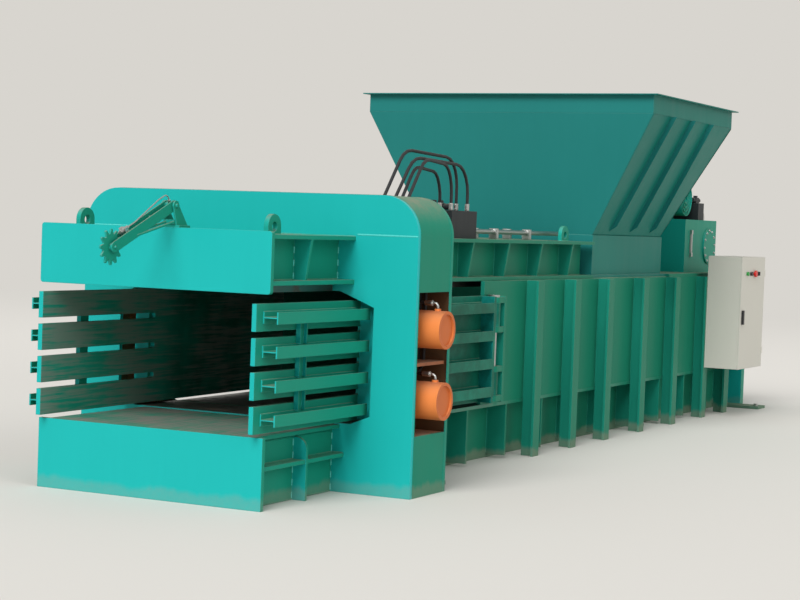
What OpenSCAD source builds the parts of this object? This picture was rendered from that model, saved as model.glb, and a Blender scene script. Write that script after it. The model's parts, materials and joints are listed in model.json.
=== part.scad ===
// Horizontal recycling baler with a squeeze portal at its exit end.
// The ram pushes the material from the back (+Y) to the exit (-Y).
// All lengths are millimetres. Heights are above the ground.
// Inside the file Y is measured from the front face of the portal.
// The function mid_y moves the finished machine so that its box is centred.

/* [Portal] */
// Width of the squeeze portal across the machine
portal_w = 2400; // [2200:10:2700]
// Height of the portal
portal_h = 1800; // [1720:10:2000]
// Depth of the portal along the machine
portal_d = 480; // [440:10:600]
// Thickness of the front and rear plates of the portal
portal_plate = 30; // [20:1:40]
// Radius of the two upper corners
portal_corner = 240; // [150:5:300]
// Thickness of the band that wraps the portal
band_t = 20; // [12:1:25]
// Height of the lower edge of the side windows
window_low = 370; // [300:5:400]
// Height of the upper edge of the side windows
window_high = 1229; // [1180:1:1300]
// Thickness of the primer-coated shelves in the windows
shelf_t = 20; // [10:1:25]
// Middle height of the centre shelf
shelf_mid = 796; // [770:1:810]
// Thickness of the inner walls that carry the squeeze cylinders
cheek_t = 30; // [20:1:40]

/* [Channel] */
// Clear width between the fixed side walls
channel_w = 1550; // [1450:10:1600]
// Height of the top of the floor
floor_z = 412; // [400:1:420]
// Thickness of the floor plates
floor_t = 24; // [16:1:30]
// Height of the underside of the ceiling rails
ceiling_z = 1214; // [1205:1:1225]
// Height of the ceiling rails
ceiling_rail_h = 48; // [40:1:60]
// Width of each ceiling rail
ceiling_rail_w = 60; // [40:1:80]
// Distance between ceiling rails
ceiling_rail_pitch = 240; // [180:5:260]
// Thickness of the ceiling plate
ceiling_t = 26; // [18:1:30]
// Thickness of the fixed side walls
wall_t = 30; // [20:1:35]
// Thickness of the two flanges of the top beam
flange_t = 24; // [16:1:30]
// Height of the upper face of the top beam
beam_top = 1548; // [1500:1:1560]
// Width over the flanges of the top beam
beam_w = 1554; // [1500:2:1580]
// Distance between the centres of the two webs
web_gap = 1300; // [1200:5:1340]
// Thickness of the webs and ribs
web_t = 20; // [12:1:25]

/* [Exit end] */
// Distance from the portal to the front of the exit plates
exit_reach = 1000; // [850:10:1150]
// Thickness of the exit plates
end_plate = 30; // [20:1:40]
// Width of the header plate
header_w = 1580; // [1560:2:1620]
// Height of the upper edge of the header plate
header_top = 1567; // [1555:1:1590]
// Corner radius of the header plate
header_corner = 18; // [8:1:30]
// Width of the sill plate at the ground
sill_w = 1544; // [1500:2:1600]
// Width over the shelf flanges of the exit base
sill_flange_w = 1490; // [1440:2:1530]
// Middle height of the shelf flange
sill_flange_z = 229; // [180:1:280]
// Radius of the round corner of the base rib
sill_rib_r = 75; // [50:1:85]
// Distance from the portal to the rib of the top beam
header_rib_y = 520; // [400:5:600]
// Distance from the portal to the rib of the exit base
sill_rib_y = 455; // [350:5:550]

/* [Lifting lugs] */
// Width of each lug
lug_w = 142; // [120:1:160]
// Thickness of each lug
lug_t = 30; // [20:1:40]
// Height of each lug above the beam
lug_h = 115; // [100:1:130]
// Radius of the shackle hole
lug_hole_r = 28; // [20:1:32]
// Distance from the portal to the middle of the front lugs
lug_y = 765; // [650:5:850]

/* [Squeeze gates] */
// Thickness of the slotted gate plate
gate_t = 30; // [20:1:35]
// Height of the lower edge of the gates
gate_low = 434; // [430:1:440]
// Height of each slat
slat_h = 155; // [150:1:158]
// Height of each wire slot between the slats
slot_h = 36; // [30:1:40]
// Distance from the portal to the inner end of the slots
slot_in = 137; // [100:1:200]
// How far the gate tips reach past the exit plates
gate_tip = 68; // [40:1:100]
// Distance from the portal to the hinge line
hinge_y = 1880; // [1700:10:2000]
// Angle by which the gates lean inwards at rest
gate_rest = 1.15; // [0.5:0.05:1.5]
// Depth of the rolled rails on the gates
rail_d = 100; // [90:1:110]
// Flange width of the rolled rails
rail_w = 68; // [60:1:76]
// Flange thickness of the rolled rails
rail_flange = 9; // [7:0.5:12]
// Web thickness of the rolled rails
rail_web = 7; // [5:0.5:9]
// Setback of the rails from the gate tips
rail_setback = 68; // [40:1:120]
// Distance from the portal to the channel strap on the slats
strap_y = 600; // [450:5:700]
// Width of the channel strap
strap_w = 80; // [60:1:100]
// Depth of the channel strap
strap_d = 30; // [20:1:40]
// Wall of the channel strap
strap_t = 8; // [6:1:12]
// Length of the thrust box that the squeeze cylinders push
thrust_len = 260; // [220:5:300]
// Plate thickness of the thrust box
thrust_t = 20; // [15:1:25]

/* [Hinges] */
// Radius of the hinge pins
pin_r = 30; // [20:1:34]
// Outer radius of the hinge knuckles
knuckle_r = 48; // [42:1:49]
// Height of each gate knuckle
knuckle_h = 160; // [120:1:180]
// Thickness of the fixed hinge ears
ear_t = 40; // [30:1:50]
// Distance from the hinge to the plate that carries its ears
ear_reach = 80; // [70:1:100]
// Thickness of the plate that carries the ears
post_plate = 30; // [20:1:40]

/* [Squeeze cylinders] */
// Outer radius of the cylinder tubes
squeeze_r = 115; // [100:1:120]
// Wall of the cylinder tubes
squeeze_wall = 20; // [14:1:25]
// How far the tubes stand out of the portal side
squeeze_out = 93; // [60:1:110]
// Height of the lower cylinders
squeeze_low = 575; // [560:1:590]
// Height of the upper cylinders
squeeze_high = 1004; // [980:1:1010]
// Radius of the mounting flanges
squeeze_flange_r = 150; // [140:1:160]
// Radius of the squeeze rods
squeeze_rod_r = 45; // [35:1:55]
// Depth of the recess in the outer end of each tube
cap_recess = 12; // [6:1:18]

/* [Hydraulic lines] */
// Outer radius of the squeeze hoses
hose_r = 11; // [9:0.5:11.5]
// Outer radius of the bright supply pipes
pipe_r = 17; // [12:0.5:18]
// Bend radius of the supply pipes
pipe_bend = 70; // [50:5:90]
// Distance between neighbouring hoses where they pass the rear plate
hose_pitch = 60; // [40:1:64]
// Height of the crown of the squeeze hoses above the top beam
hose_crown = 575; // [450:5:620]
// Distance from the portal to the middle of the squeeze manifold
manifold_y = 1840; // [1700:10:2000]
// Distance of the manifold's middle from the middle of the machine
manifold_x = 470; // [430:5:500]

/* [Press chamber] */
// Distance from the portal to the shear blade
chamber_y = 4000; // [3800:10:4200]
// Length of the feed opening under the hopper
feed_len = 1600; // [1500:10:1700]
// Length of the ram housing behind the feed opening
housing_len = 2300; // [2200:10:2500]
// Thickness of the crosshead at the back
crosshead_t = 90; // [70:1:110]
// Height of the T posts outside the side walls
post_d = 110; // [90:1:130]
// Width of the outer flange of the T posts
post_w = 110; // [80:1:130]
// Distance of the first two posts from the hinges and from the shear blade
post_pitch = 700; // [600:10:750]

/* [Ram] */
// Length of the ram
ram_len = 1760; // [1740:5:1800]
// Clearance between the ram and the side walls
ram_side = 8; // [5:1:12]
// Clearance between the ram shoes and the floor
ram_low = 0.4; // [0.3:0.1:1]
// Height of the ram above its shoes
ram_h = 780; // [740:1:785]
// Wall of the ram box
ram_wall = 20; // [15:1:25]
// Thickness of the ram face
platen_t = 60; // [50:1:80]
// Height of the ram shoes
shoe_h = 12; // [8:1:16]
// Depth of the grooves that pass the wires through the ram face
wire_groove = 30; // [20:1:40]
// Outer radius of the main cylinder
main_r = 160; // [140:1:180]
// Wall of the main cylinder
main_wall = 28; // [20:1:32]
// Radius of the main rod
main_rod_r = 100; // [80:1:110]

/* [Hopper] */
// Width of the hopper at its collar
collar_w = 1440; // [1400:10:1480]
// Height of the top of the collar
collar_top = 1600; // [1580:5:1700]
// Height of the upper edge of the sloping panels
flare_top = 2550; // [2400:10:2600]
// Spread of each side panel for each unit of height
flare_side = 0.53; // [0.4:0.01:0.55]
// Spread of the front panel for each unit of height
flare_front = 0.11; // [0.05:0.01:0.2]
// Spread of the rear panel for each unit of height
flare_rear = 0.3; // [0.2:0.01:0.35]
// Height of the upright band at the rim
rim_h = 150; // [100:5:200]
// Thickness of the hopper sheets
hopper_t = 8; // [5:1:12]

/* [Power unit] */
// Distance from the feed opening to the oil tank
tank_reach = 900; // [850:10:1000]
// Length of the oil tank across the machine
tank_w = 1300; // [1200:10:1400]
// Depth of the oil tank along the machine
tank_d = 900; // [800:10:1000]
// Height of the oil tank
tank_h = 480; // [400:10:520]
// Radius of the motor body
motor_r = 150; // [130:1:160]
// Length of the motor body
motor_len = 420; // [380:5:450]
// Number of cooling fins on the motor
motor_fins = 36; // [24:1:48]
// Radius of the tank's filler
filler_r = 45; // [35:1:60]
// Length of the tank's level gauge
gauge_l = 240; // [180:5:300]
// Width of a valve
valve_w = 48; // [40:1:54]

/* [Control cabinet] */
// Distance from the feed opening to the middle of the cabinet
cabinet_reach = 1140; // [1050:10:1250]
// Width of the cabinet along the machine
cabinet_w = 700; // [600:10:800]
// Depth of the cabinet
cabinet_d = 300; // [250:5:320]
// Height of the cabinet body
cabinet_h = 1000; // [900:10:1200]
// Height of the bottom of the cabinet
cabinet_z = 450; // [420:5:500]
// Sheet thickness of the cabinet
cabinet_t = 12; // [8:1:15]
// Radius of the push buttons
button_r = 15; // [12:1:18]
// Radius of the door's hinge barrels
door_barrel_r = 7; // [5:0.5:8]

/* [Bale length counter] */
// Distance of the counter from the middle of the machine
counter_x = 115; // [60:5:200]
// Height of the arm pivot above the header
counter_pivot_h = 123; // [110:1:140]
// Length of the arm from the pivot to the star wheel
counter_arm = 612; // [560:2:650]
// Angle of the arm below the level
counter_tilt = 23; // [18:0.5:28]
// Outer radius of the star wheel
star_r = 100; // [90:1:110]
// Number of teeth on the star wheel
star_teeth = 12; // [8:1:16]

/* [Hidden] */
$fn = 64;

body_green = [0.09, 0.70, 0.66];
side_green = [0.07, 0.50, 0.42];
primer = [0.62, 0.34, 0.20];
orange = [0.86, 0.48, 0.22];
bright = [0.80, 0.81, 0.82];
dark = [0.12, 0.13, 0.13];
steel = [0.45, 0.46, 0.47];
pale = [0.80, 0.80, 0.76];

// Clearance between a shaft and its bore
run_gap = 0.05;
// Clearance between a button and the door
button_gap = 0.3;
// Clearance between pieces that pass each other
pass_gap = 5;

portal_half = portal_w / 2;
channel_half = channel_w / 2;
web_half = web_gap / 2;
beam_half = beam_w / 2;

// Side face of the gates when they stand parallel
gate_out = channel_half + gate_t;
rail_out = gate_out + rail_d;
gate_top = gate_low + 4 * slat_h + 3 * slot_h;
gate_front = -exit_reach - gate_tip;
hinge_x = gate_out + rail_d / 2;
stile_t = 30;
stile_y = hinge_y - knuckle_r - 12 - stile_t;
slat_pitch = slat_h + slot_h;
function slat_mid(i) = gate_low + slat_h / 2 + i * slat_pitch;

// Opening in the portal plates: its flanks clear the rails, its slopes clear the gate plates
throat_gap = 11;
rail_clear = 6.5;
throat_half = rail_out + throat_gap;
throat_top = ceiling_z + 2;
throat_low = floor_z + 6;
throat_top_half = web_half + 32;
throat_low_half = channel_half + 5;
throat_shoulder = slat_mid(3) + rail_w / 2 + rail_clear;
throat_hip = slat_mid(0) - rail_w / 2 - rail_clear;
throat = [[-throat_low_half, throat_low], [-throat_half + 4, throat_hip],
    [-throat_half, throat_shoulder], [-throat_top_half, throat_top],
    [throat_top_half, throat_top], [throat_half, throat_shoulder],
    [throat_half - 4, throat_hip], [throat_low_half, throat_low]];

cheek_x = rail_out + 30;
wall_out = channel_half + wall_t;
ceiling_plate = ceiling_z + ceiling_rail_h;
ceiling_top = ceiling_plate + ceiling_t;
feed_back = chamber_y + feed_len;
housing_back = feed_back + housing_len;
crosshead_back = housing_back + crosshead_t;
main_flange_t = 60;
main_back = crosshead_back + main_flange_t + 30;

// Ends of the machine along Y, and the shift that centres its box
pivot_lead = 10;
pivot_y = -exit_reach - pivot_lead;
pivot_z = header_top + counter_pivot_h;
star_y = pivot_y - counter_arm * cos(counter_tilt);
star_z = pivot_z - counter_arm * sin(counter_tilt);
front_end = star_y - star_r;
mid_y = (front_end + main_back) / 2;

module place() { translate([0, -mid_y, 0]) children(); }
module span(x, y, z) {
    translate([x[0], y[0], z[0]]) cube([x[1] - x[0], y[1] - y[0], z[1] - z[0]]);
}
// An outline of X and Z carried along Y
module along_y(y) {
    translate([0, y[1], 0]) rotate([90, 0, 0]) linear_extrude(y[1] - y[0]) children();
}
// An outline of Y and Z carried along X
module along_x(x) {
    translate([x[0], 0, 0]) rotate([90, 0, 90]) linear_extrude(x[1] - x[0]) children();
}
module rod_x(r, x) { translate([x[0], 0, 0]) rotate([0, 90, 0]) cylinder(r = r, h = x[1] - x[0]); }
module rod_y(r, y) { translate([0, y[1], 0]) rotate([90, 0, 0]) cylinder(r = r, h = y[1] - y[0]); }
module both_sides() {
    children();
    mirror([1, 0, 0]) children();
}

// A path through the points p in which each inner corner is an arc of its radius in bends
function unit(v) = v / norm(v);
function along(p, i) = unit(p[i + 1] - p[i]);
function turn(p, i) = acos(along(p, i - 1) * along(p, i));
function corner(p, i, bend) = let (
    from = along(p, i - 1),
    side = unit(along(p, i) - (along(p, i) * from) * from),
    start = p[i] - from * bend * tan(turn(p, i) / 2),
    steps = max(2, ceil(turn(p, i) / bend_step)))
    [for (k = [0:steps]) let (a = turn(p, i) * k / steps)
        start + bend * (from * sin(a) + side * (1 - cos(a)))];
function rounded(p, bends) = concat([p[0]],
    [for (i = [1:len(p) - 2]) each corner(p, i, bends[i - 1])], [p[len(p) - 1]]);
// A round bar along a path. Each ring's first spoke is carried over from the ring before it.
function heading(p, i) = unit(p[min(i + 1, len(p) - 1)] - p[max(i - 1, 0)]);
function square_to(v, t) = unit(v - (v * t) * t);
function first_spoke(t) = square_to(abs(t[2]) > 0.9 ? [1, 0, 0] : [0, 0, 1], t);
function spokes(p) = [for (i = 0, v = first_spoke(heading(p, 0)); i < len(p);
    i = i + 1, v = square_to(v, heading(p, min(i, len(p) - 1)))) v];
module bar(p, r) {
    n = len(p);
    spoke = spokes(p);
    function at(i, k) = i * bar_sides + k % bar_sides;
    polyhedron(
        points = [for (i = [0:n - 1], k = [0:bar_sides - 1]) let (a = 360 * k / bar_sides)
            p[i] + r * (cos(a) * spoke[i] + sin(a) * cross(heading(p, i), spoke[i]))],
        faces = concat([[for (k = [0:bar_sides - 1]) k]], [[for (k = [bar_sides - 1:-1:0]) at(n - 1, k)]],
            [for (i = [0:n - 2], k = [0:bar_sides - 1]) each
                [[at(i, k), at(i + 1, k), at(i + 1, k + 1)], [at(i, k), at(i + 1, k + 1), at(i, k + 1)]]]));
}
bend_step = 18;
bar_sides = 8;

// Portal
module arch_outline(inset) {
    w = portal_half - inset;
    c = portal_half - portal_corner;
    translate([-w, 0]) square([2 * w, portal_h - portal_corner]);
    translate([-c, 0]) square([2 * c, portal_h - inset]);
    for (s = [-1, 1]) translate([s * c, portal_h - portal_corner]) circle(r = portal_corner - inset, $fn = 96);
}
module portal_front_plate() {
    color(body_green) place() along_y([0, portal_plate]) difference() {
        arch_outline(0);
        polygon(throat);
    }
}
module portal_rear_plate() {
    // The hoses leave through a slot on each side. Those near its outer end still bend there.
    drift = riser_y + hose_bend - portal_d + portal_plate;
    slot_r = (hose_exit[1] - hose_exit[0]) / 2 + hose_r + hose_gap;
    slot_x = [hose_x(0), hose_x(3) + hose_bend - sqrt(hose_bend * hose_bend - drift * drift)];
    color(body_green) place() along_y([portal_d - portal_plate, portal_d]) difference() {
        arch_outline(0);
        polygon(throat);
        both_sides() translate([0, (hose_exit[0] + hose_exit[1]) / 2]) {
            translate([slot_x[0], -slot_r]) square([slot_x[1] - slot_x[0], 2 * slot_r]);
            for (x = slot_x) translate([x, 0]) circle(r = slot_r);
        }
    }
}
module portal_arch_band() {
    color(side_green) place() along_y([portal_plate, portal_d - portal_plate]) difference() {
        arch_outline(0);
        arch_outline(band_t);
        translate([-portal_half, 0]) square([portal_w, window_high]);
    }
}
module portal_foot_bands() {
    color(side_green) place() both_sides()
        span([portal_half - band_t, portal_half], [portal_plate, portal_d - portal_plate], [0, window_low]);
}
module portal_shelves() {
    inside = [portal_plate, portal_d - portal_plate];
    x = [cheek_x + cheek_t, portal_half - band_t];
    color(primer) place() both_sides() {
        span(x, inside, [window_low - shelf_t, window_low]);
        difference() {
            span(x, inside, [window_high, window_high + shelf_t]);
            hose_slot(window_high);
            hose_notch(window_high);
        }
        difference() {
            span(x, inside, [shelf_mid - shelf_t / 2, shelf_mid + shelf_t / 2]);
            hose_notch(shelf_mid - shelf_t / 2);
        }
    }
}
// Passages of two hoses through the shelf whose underside is at z
passage_r = hose_r + 12;
module hose_slot(z) {
    translate([0, portal_d / 2, z - 1]) linear_extrude(shelf_t + 2) {
        translate([riser_x[0], -passage_r]) square([riser_x[1] - riser_x[0], 2 * passage_r]);
        for (x = riser_x) translate([x, 0]) circle(r = passage_r);
    }
}
module hose_notch(z) {
    span([riser_x[0] - passage_r, riser_x[1] + passage_r], [riser_y - passage_r, portal_d],
        [z - 1, z + shelf_t + 1]);
}
module at_squeeze() {
    for (z = [squeeze_low, squeeze_high]) translate([0, portal_d / 2, z]) children();
}
module portal_cheeks() {
    color(primer) place() both_sides() difference() {
        span([cheek_x, cheek_x + cheek_t], [portal_plate, portal_d - portal_plate],
            [0, window_high + shelf_t]);
        at_squeeze() rod_x(squeeze_r, [cheek_x - 1, cheek_x + cheek_t + 1]);
    }
}
module channel_liners() {
    inside = [portal_plate, portal_d - portal_plate];
    color(steel) place() {
        for (x = [-2.5:1:2.5]) for (y = [[-exit_reach + end_plate, 0], [portal_d, chamber_y - 60]])
            translate([x * ceiling_rail_pitch, 0, 0])
                span([-ceiling_rail_w / 2, ceiling_rail_w / 2], y, [ceiling_z, ceiling_plate]);
        span([-throat_top_half, throat_top_half], inside, [throat_top, throat_top + floor_t]);
        span([-throat_low_half, throat_low_half], inside, [throat_low - floor_t, throat_low]);
    }
}

// Squeeze cylinders
squeeze_back = portal_half + squeeze_out;
head_in = cheek_x + 50;
cap_in = squeeze_back - cap_recess - 26;
piston_r = squeeze_r - squeeze_wall - run_gap;
piston_t = 50;
push_x = hinge_x + (rail_out - hinge_x) / cos(gate_rest) - (hinge_y - portal_d / 2) * tan(gate_rest);
rod_tip = push_x + 0.6;
dome_r = 150;
piston_x = head_in + 130;
// Hose ports on top of each tube, one at the head and one near the cap
port_x = [head_in + 30, cap_in - 30];
port_top = squeeze_r + 12;
port_r = 20;
module squeeze_barrels() {
    color(orange) place() both_sides() at_squeeze() difference() {
        union() {
            rod_x(squeeze_r, [cheek_x, squeeze_back]);
            rod_x(squeeze_flange_r, [cheek_x + cheek_t, cheek_x + cheek_t + 25]);
            for (x = port_x) translate([x, 0, squeeze_r - squeeze_wall / 2])
                cylinder(r = port_r, h = port_top - squeeze_r + squeeze_wall / 2);
        }
        rod_x(squeeze_rod_r + run_gap, [cheek_x - 1, head_in + 1]);
        rod_x(squeeze_r - squeeze_wall, [head_in, cap_in]);
        rod_x(squeeze_r - squeeze_wall, [squeeze_back - cap_recess, squeeze_back + 1]);
    }
}
// The rod and its piston are one turned piece with a domed nose
module squeeze_rod() {
    sag = dome_r - sqrt(dome_r * dome_r - squeeze_rod_r * squeeze_rod_r);
    rotate([0, 90, 0]) rotate_extrude($fn = 96) {
        intersection() {
            translate([0, rod_tip + dome_r]) circle(r = dome_r);
            translate([0, rod_tip]) square([squeeze_rod_r, sag + 1]);
        }
        translate([0, rod_tip + sag]) square([squeeze_rod_r, piston_x - rod_tip - sag + 1]);
        translate([0, piston_x]) square([piston_r, piston_t]);
    }
}
module squeeze_rods_right() { color(bright) place() at_squeeze() squeeze_rod(); }
module squeeze_rods_left() { color(bright) place() mirror([1, 0, 0]) at_squeeze() squeeze_rod(); }

// Exit end
module exit_header_plate() {
    w = header_w / 2;
    c = header_corner;
    color(body_green) place() along_y([-exit_reach, -exit_reach + end_plate]) {
        translate([-w, ceiling_z + c]) square([header_w, header_top - ceiling_z - 2 * c]);
        translate([-w + c, ceiling_z]) square([header_w - 2 * c, header_top - ceiling_z]);
        for (s = [-1, 1]) for (z = [ceiling_z + c, header_top - c]) translate([s * (w - c), z]) circle(r = c);
    }
}
module top_beam(y, ribs) {
    web = [web_half - web_t / 2, web_half + web_t / 2];
    span([-beam_half, beam_half], y, [ceiling_plate, ceiling_top]);
    span([-beam_half, beam_half], y, [beam_top - flange_t, beam_top]);
    both_sides() {
        span(web, y, [ceiling_top - 1, beam_top - flange_t + 1]);
        for (rib = ribs) along_y([rib - web_t / 2, rib + web_t / 2])
            polygon([[web[1] - 1, ceiling_top - 1], [beam_half - 37, ceiling_top - 1],
                [beam_half - 0.5, beam_top - flange_t + 1], [web[1] - 1, beam_top - flange_t + 1]]);
    }
}
module exit_top_beam() {
    color(side_green) place() top_beam([-exit_reach + end_plate, 0], [-header_rib_y]);
}
module lug() {
    along_x([-lug_t / 2, lug_t / 2]) difference() {
        union() {
            translate([-lug_w / 2, 0]) square([lug_w, lug_h - lug_w / 2]);
            intersection() {
                translate([0, lug_h - lug_w / 2]) circle(r = lug_w / 2);
                translate([-lug_w / 2, 0]) square([lug_w, lug_h]);
            }
        }
        translate([0, lug_h - lug_w / 2]) circle(r = lug_hole_r);
    }
}
rear_lug_y = chamber_y - 400;
module lifting_lugs() {
    color(side_green) place() for (x = [-1, 1], y = [-lug_y, rear_lug_y])
        translate([x * web_half, y, beam_top]) lug();
}
module exit_sill_plate() {
    color(body_green) place()
        span([-sill_w / 2, sill_w / 2], [-exit_reach, -exit_reach + end_plate], [0, floor_z]);
}
module exit_base() {
    y = [-exit_reach + end_plate, 0];
    web = [web_half - web_t / 2, web_half + web_t / 2];
    rib_top = floor_z - 40;
    rib_out = sill_flange_w / 2 + 6;
    color(side_green) place() {
        span([-web_half - 60, web_half + 60], y, [floor_z - floor_t, floor_z]);
        both_sides() {
            span(web, y, [0, floor_z - floor_t + 1]);
            span([web[1] - 1, sill_flange_w / 2], y, [sill_flange_z - floor_t / 2, sill_flange_z + floor_t / 2]);
            along_y([-sill_rib_y - web_t / 2, -sill_rib_y + web_t / 2]) {
                translate([web[1] - 1, 0]) square([rib_out - web[1] + 1, rib_top - sill_rib_r]);
                translate([web[1] - 1, 0]) square([rib_out - sill_rib_r - web[1] + 1, rib_top]);
                translate([rib_out - sill_rib_r, rib_top - sill_rib_r]) circle(r = sill_rib_r);
            }
        }
    }
}

// Channel, chamber and housing
wall_front = stile_y + stile_t + 15;
module channel_floor() {
    color(steel) place()
        span([-wall_out, wall_out], [portal_d, housing_back], [floor_z - floor_t, floor_z]);
}
module base_beams() {
    color(side_green) place() both_sides() {
        span([web_half - web_t / 2, web_half + web_t / 2], [portal_d, housing_back], [0, floor_z - floor_t]);
        span([web_half - web_t / 2, web_half + web_t / 2], [portal_plate, portal_d - portal_plate],
            [0, throat_low - floor_t]);
        for (y = [portal_d + 500:650:housing_back - 100])
            span([web_half + web_t / 2, wall_out], [y - web_t / 2, y + web_t / 2],
                [foot_t, floor_z - floor_t]);
    }
}
foot_t = 25;
foot_x = portal_half - 190;
foot_y = [portal_d + 175, housing_back - 175];
foot_hole_r = 15;
module anchor_feet() {
    color(side_green) place() both_sides() for (y = foot_y) difference() {
        span([web_half + web_t / 2, foot_x + 60], [y - 110, y + 110], [0, foot_t]);
        translate([foot_x, y, -1]) cylinder(r = foot_hole_r, h = foot_t + 2);
    }
}
module channel_top_beam() {
    color(side_green) place()
        top_beam([portal_d, chamber_y - 60], [portal_d + 620:600:chamber_y - 200]);
}
module side_walls() {
    color(side_green) place() both_sides()
        span([channel_half, wall_out], [wall_front, housing_back], [floor_z, ceiling_plate]);
}
// The last two posts also carry the control cabinet
cabinet_mid = feed_back + cabinet_reach;
post_y = [hinge_y + post_pitch, chamber_y - post_pitch, chamber_y, chamber_y + feed_len / 2, feed_back,
    cabinet_mid - cabinet_w / 2 + 30, cabinet_mid + cabinet_w / 2 - 30];
module side_posts() {
    color(side_green) place() both_sides() for (y = post_y)
        translate([wall_out, y, 0]) along_z([0, ceiling_plate]) {
            translate([0, -web_t / 2]) square([post_d, web_t]);
            translate([post_d - web_t, -post_w / 2]) square([web_t, post_w]);
        }
}
module along_z(z) { translate([0, 0, z[0]]) linear_extrude(z[1] - z[0]) children(); }

// Hinges. The knuckle heights are those of the lowest and highest slats.
knuckle_gap = 1;
knuckle_z = [slat_mid(0) - knuckle_h / 2 + 50, slat_mid(3) - knuckle_h / 2 - 50];
module hinge_posts() {
    color(side_green) place() both_sides() {
        span([wall_out, rail_out], [hinge_y + ear_reach, hinge_y + ear_reach + post_plate], [gate_low, gate_top]);
        for (z = knuckle_z) for (low = [z - knuckle_gap - ear_t, z + knuckle_h + knuckle_gap])
            translate([hinge_x, hinge_y, low]) difference() {
                union() {
                    cylinder(r = knuckle_r, h = ear_t);
                    translate([-knuckle_r, 0, 0]) cube([2 * knuckle_r, ear_reach, ear_t]);
                }
                translate([0, 0, -1]) cylinder(r = pin_r, h = ear_t + 2);
            }
    }
}
module gate_pins() {
    color(bright) place() both_sides() translate([hinge_x, hinge_y, 0]) {
        low = knuckle_z[0] - knuckle_gap - ear_t;
        high = knuckle_z[1] + knuckle_h + knuckle_gap + ear_t;
        translate([0, 0, low]) cylinder(r = pin_r, h = high - low);
        translate([0, 0, high]) cylinder(r = pin_r + 12, h = 15);
    }
}

// Squeeze gates. Each is drawn parallel to the channel, then leaned in about its hinge.
module lean() {
    translate([hinge_x, hinge_y, 0]) rotate([0, 0, -gate_rest]) translate([-hinge_x, -hinge_y, 0]) children();
}
module slot_outline() {
    len = slot_in - gate_front;
    for (i = [0:2]) translate([gate_front, slat_mid(i) + slat_h / 2]) {
        translate([-1, 0]) square([len - slot_h / 2 + 1, slot_h]);
        translate([len - slot_h / 2, slot_h / 2]) circle(r = slot_h / 2);
    }
}
module gate_plate() {
    along_x([channel_half, gate_out]) difference() {
        translate([gate_front, gate_low]) square([stile_y + stile_t - gate_front, gate_top - gate_low]);
        slot_outline();
    }
}
module rail(y, z) {
    translate([gate_out, 0, z]) {
        span([0, rail_flange], y, [-rail_w / 2, rail_w / 2]);
        span([rail_flange - 1, rail_d - rail_flange + 1], y, [-rail_web / 2, rail_web / 2]);
        span([rail_d - rail_flange, rail_d], y, [-rail_w / 2, rail_w / 2]);
    }
}
thrust_y = [portal_d / 2 - thrust_len / 2, portal_d / 2 + thrust_len / 2];
module gate_rails() {
    for (i = [0:3]) {
        rail([gate_front + rail_setback, thrust_y[0] - 60], slat_mid(i));
        rail([thrust_y[1], stile_y], slat_mid(i));
    }
}
module gate_bracing() {
    for (i = [0:2]) translate([gate_out, -strap_y, 0])
        along_z([slat_mid(i) + rail_w / 2, slat_mid(i + 1) - rail_w / 2]) difference() {
            translate([0, -strap_w / 2]) square([strap_d, strap_w]);
            translate([strap_t, -strap_w / 2 + strap_t]) square([strap_d, strap_w - 2 * strap_t]);
        }
    difference() {
        span([gate_out, rail_out], thrust_y, [gate_low, gate_top]);
        for (i = [0:3]) span([gate_out + thrust_t, rail_out - thrust_t],
            [thrust_y[0] + thrust_t, thrust_y[1] - thrust_t],
            [slat_mid(i) - slat_h / 2 + thrust_t, slat_mid(i) + slat_h / 2]);
    }
    span([gate_out, rail_out], [stile_y, stile_y + stile_t], [gate_low, gate_top]);
    for (z = knuckle_z) translate([hinge_x, hinge_y, z]) difference() {
        union() {
            cylinder(r = knuckle_r, h = knuckle_h);
            translate([-knuckle_r + 8, stile_y - hinge_y + 1, 0])
                cube([2 * (knuckle_r - 8), hinge_y - stile_y - 1, knuckle_h]);
        }
        translate([0, 0, -1]) cylinder(r = pin_r + run_gap, h = knuckle_h + 2);
    }
}
module gate_plate_right() { color(body_green) place() lean() gate_plate(); }
module gate_rails_right() { color(side_green) place() lean() gate_rails(); }
module gate_bracing_right() { color(side_green) place() lean() gate_bracing(); }
module gate_plate_left() { color(body_green) place() mirror([1, 0, 0]) lean() gate_plate(); }
module gate_rails_left() { color(side_green) place() mirror([1, 0, 0]) lean() gate_rails(); }
module gate_bracing_left() { color(side_green) place() mirror([1, 0, 0]) lean() gate_bracing(); }

// Hydraulic lines. The hoses of the right cylinders arch over the top beam, the left ones lie on it.
elbow_r = hose_r - 2;
elbow_bend = 24;
elbow_rise = 33;
elbow_run = 35;
nut_len = 15;
ferrule_len = 35;
fit_len = nut_len + ferrule_len;
hose_gap = 5;
hose_bend = 8 * hose_r;
riser_x = [port_x[0], port_x[1] - elbow_run - fit_len - hose_bend - 2];
riser_y = portal_d / 2 + 2 * hose_bend + 8;
hose_exit = [beam_top + 37, beam_top + 77];
function hose_x(i) = portal_half - portal_corner - 420 + i * hose_pitch;
manifold_w = 320;
manifold_l = 400;
manifold_h = 190;
manifold_top = beam_top + manifold_h;
manifold_left = manifold_x - manifold_w / 2;
// Places of the four hose ports on the manifold's top, in the order of hose_x
top_ports = [for (i = [[0, 1], [1, 1], [0, -1], [1, -1]])
    [manifold_x + 30 + i[0] * 85, manifold_y + i[1] * 130]];
crown = [for (i = [0, -50, -110, -60]) beam_top + hose_crown + i];
// A swaged end: a hexagon nut and a sleeve, drawn along +Z
module swaged_end() {
    cylinder(r = hose_r + 6, h = nut_len, $fn = 6);
    translate([0, 0, nut_len]) cylinder(r = hose_r + 4, h = ferrule_len);
}
module towards(v) { rotate([0, acos(v[2] / norm(v)), atan2(v[1], v[0])]) children(); }
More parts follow.
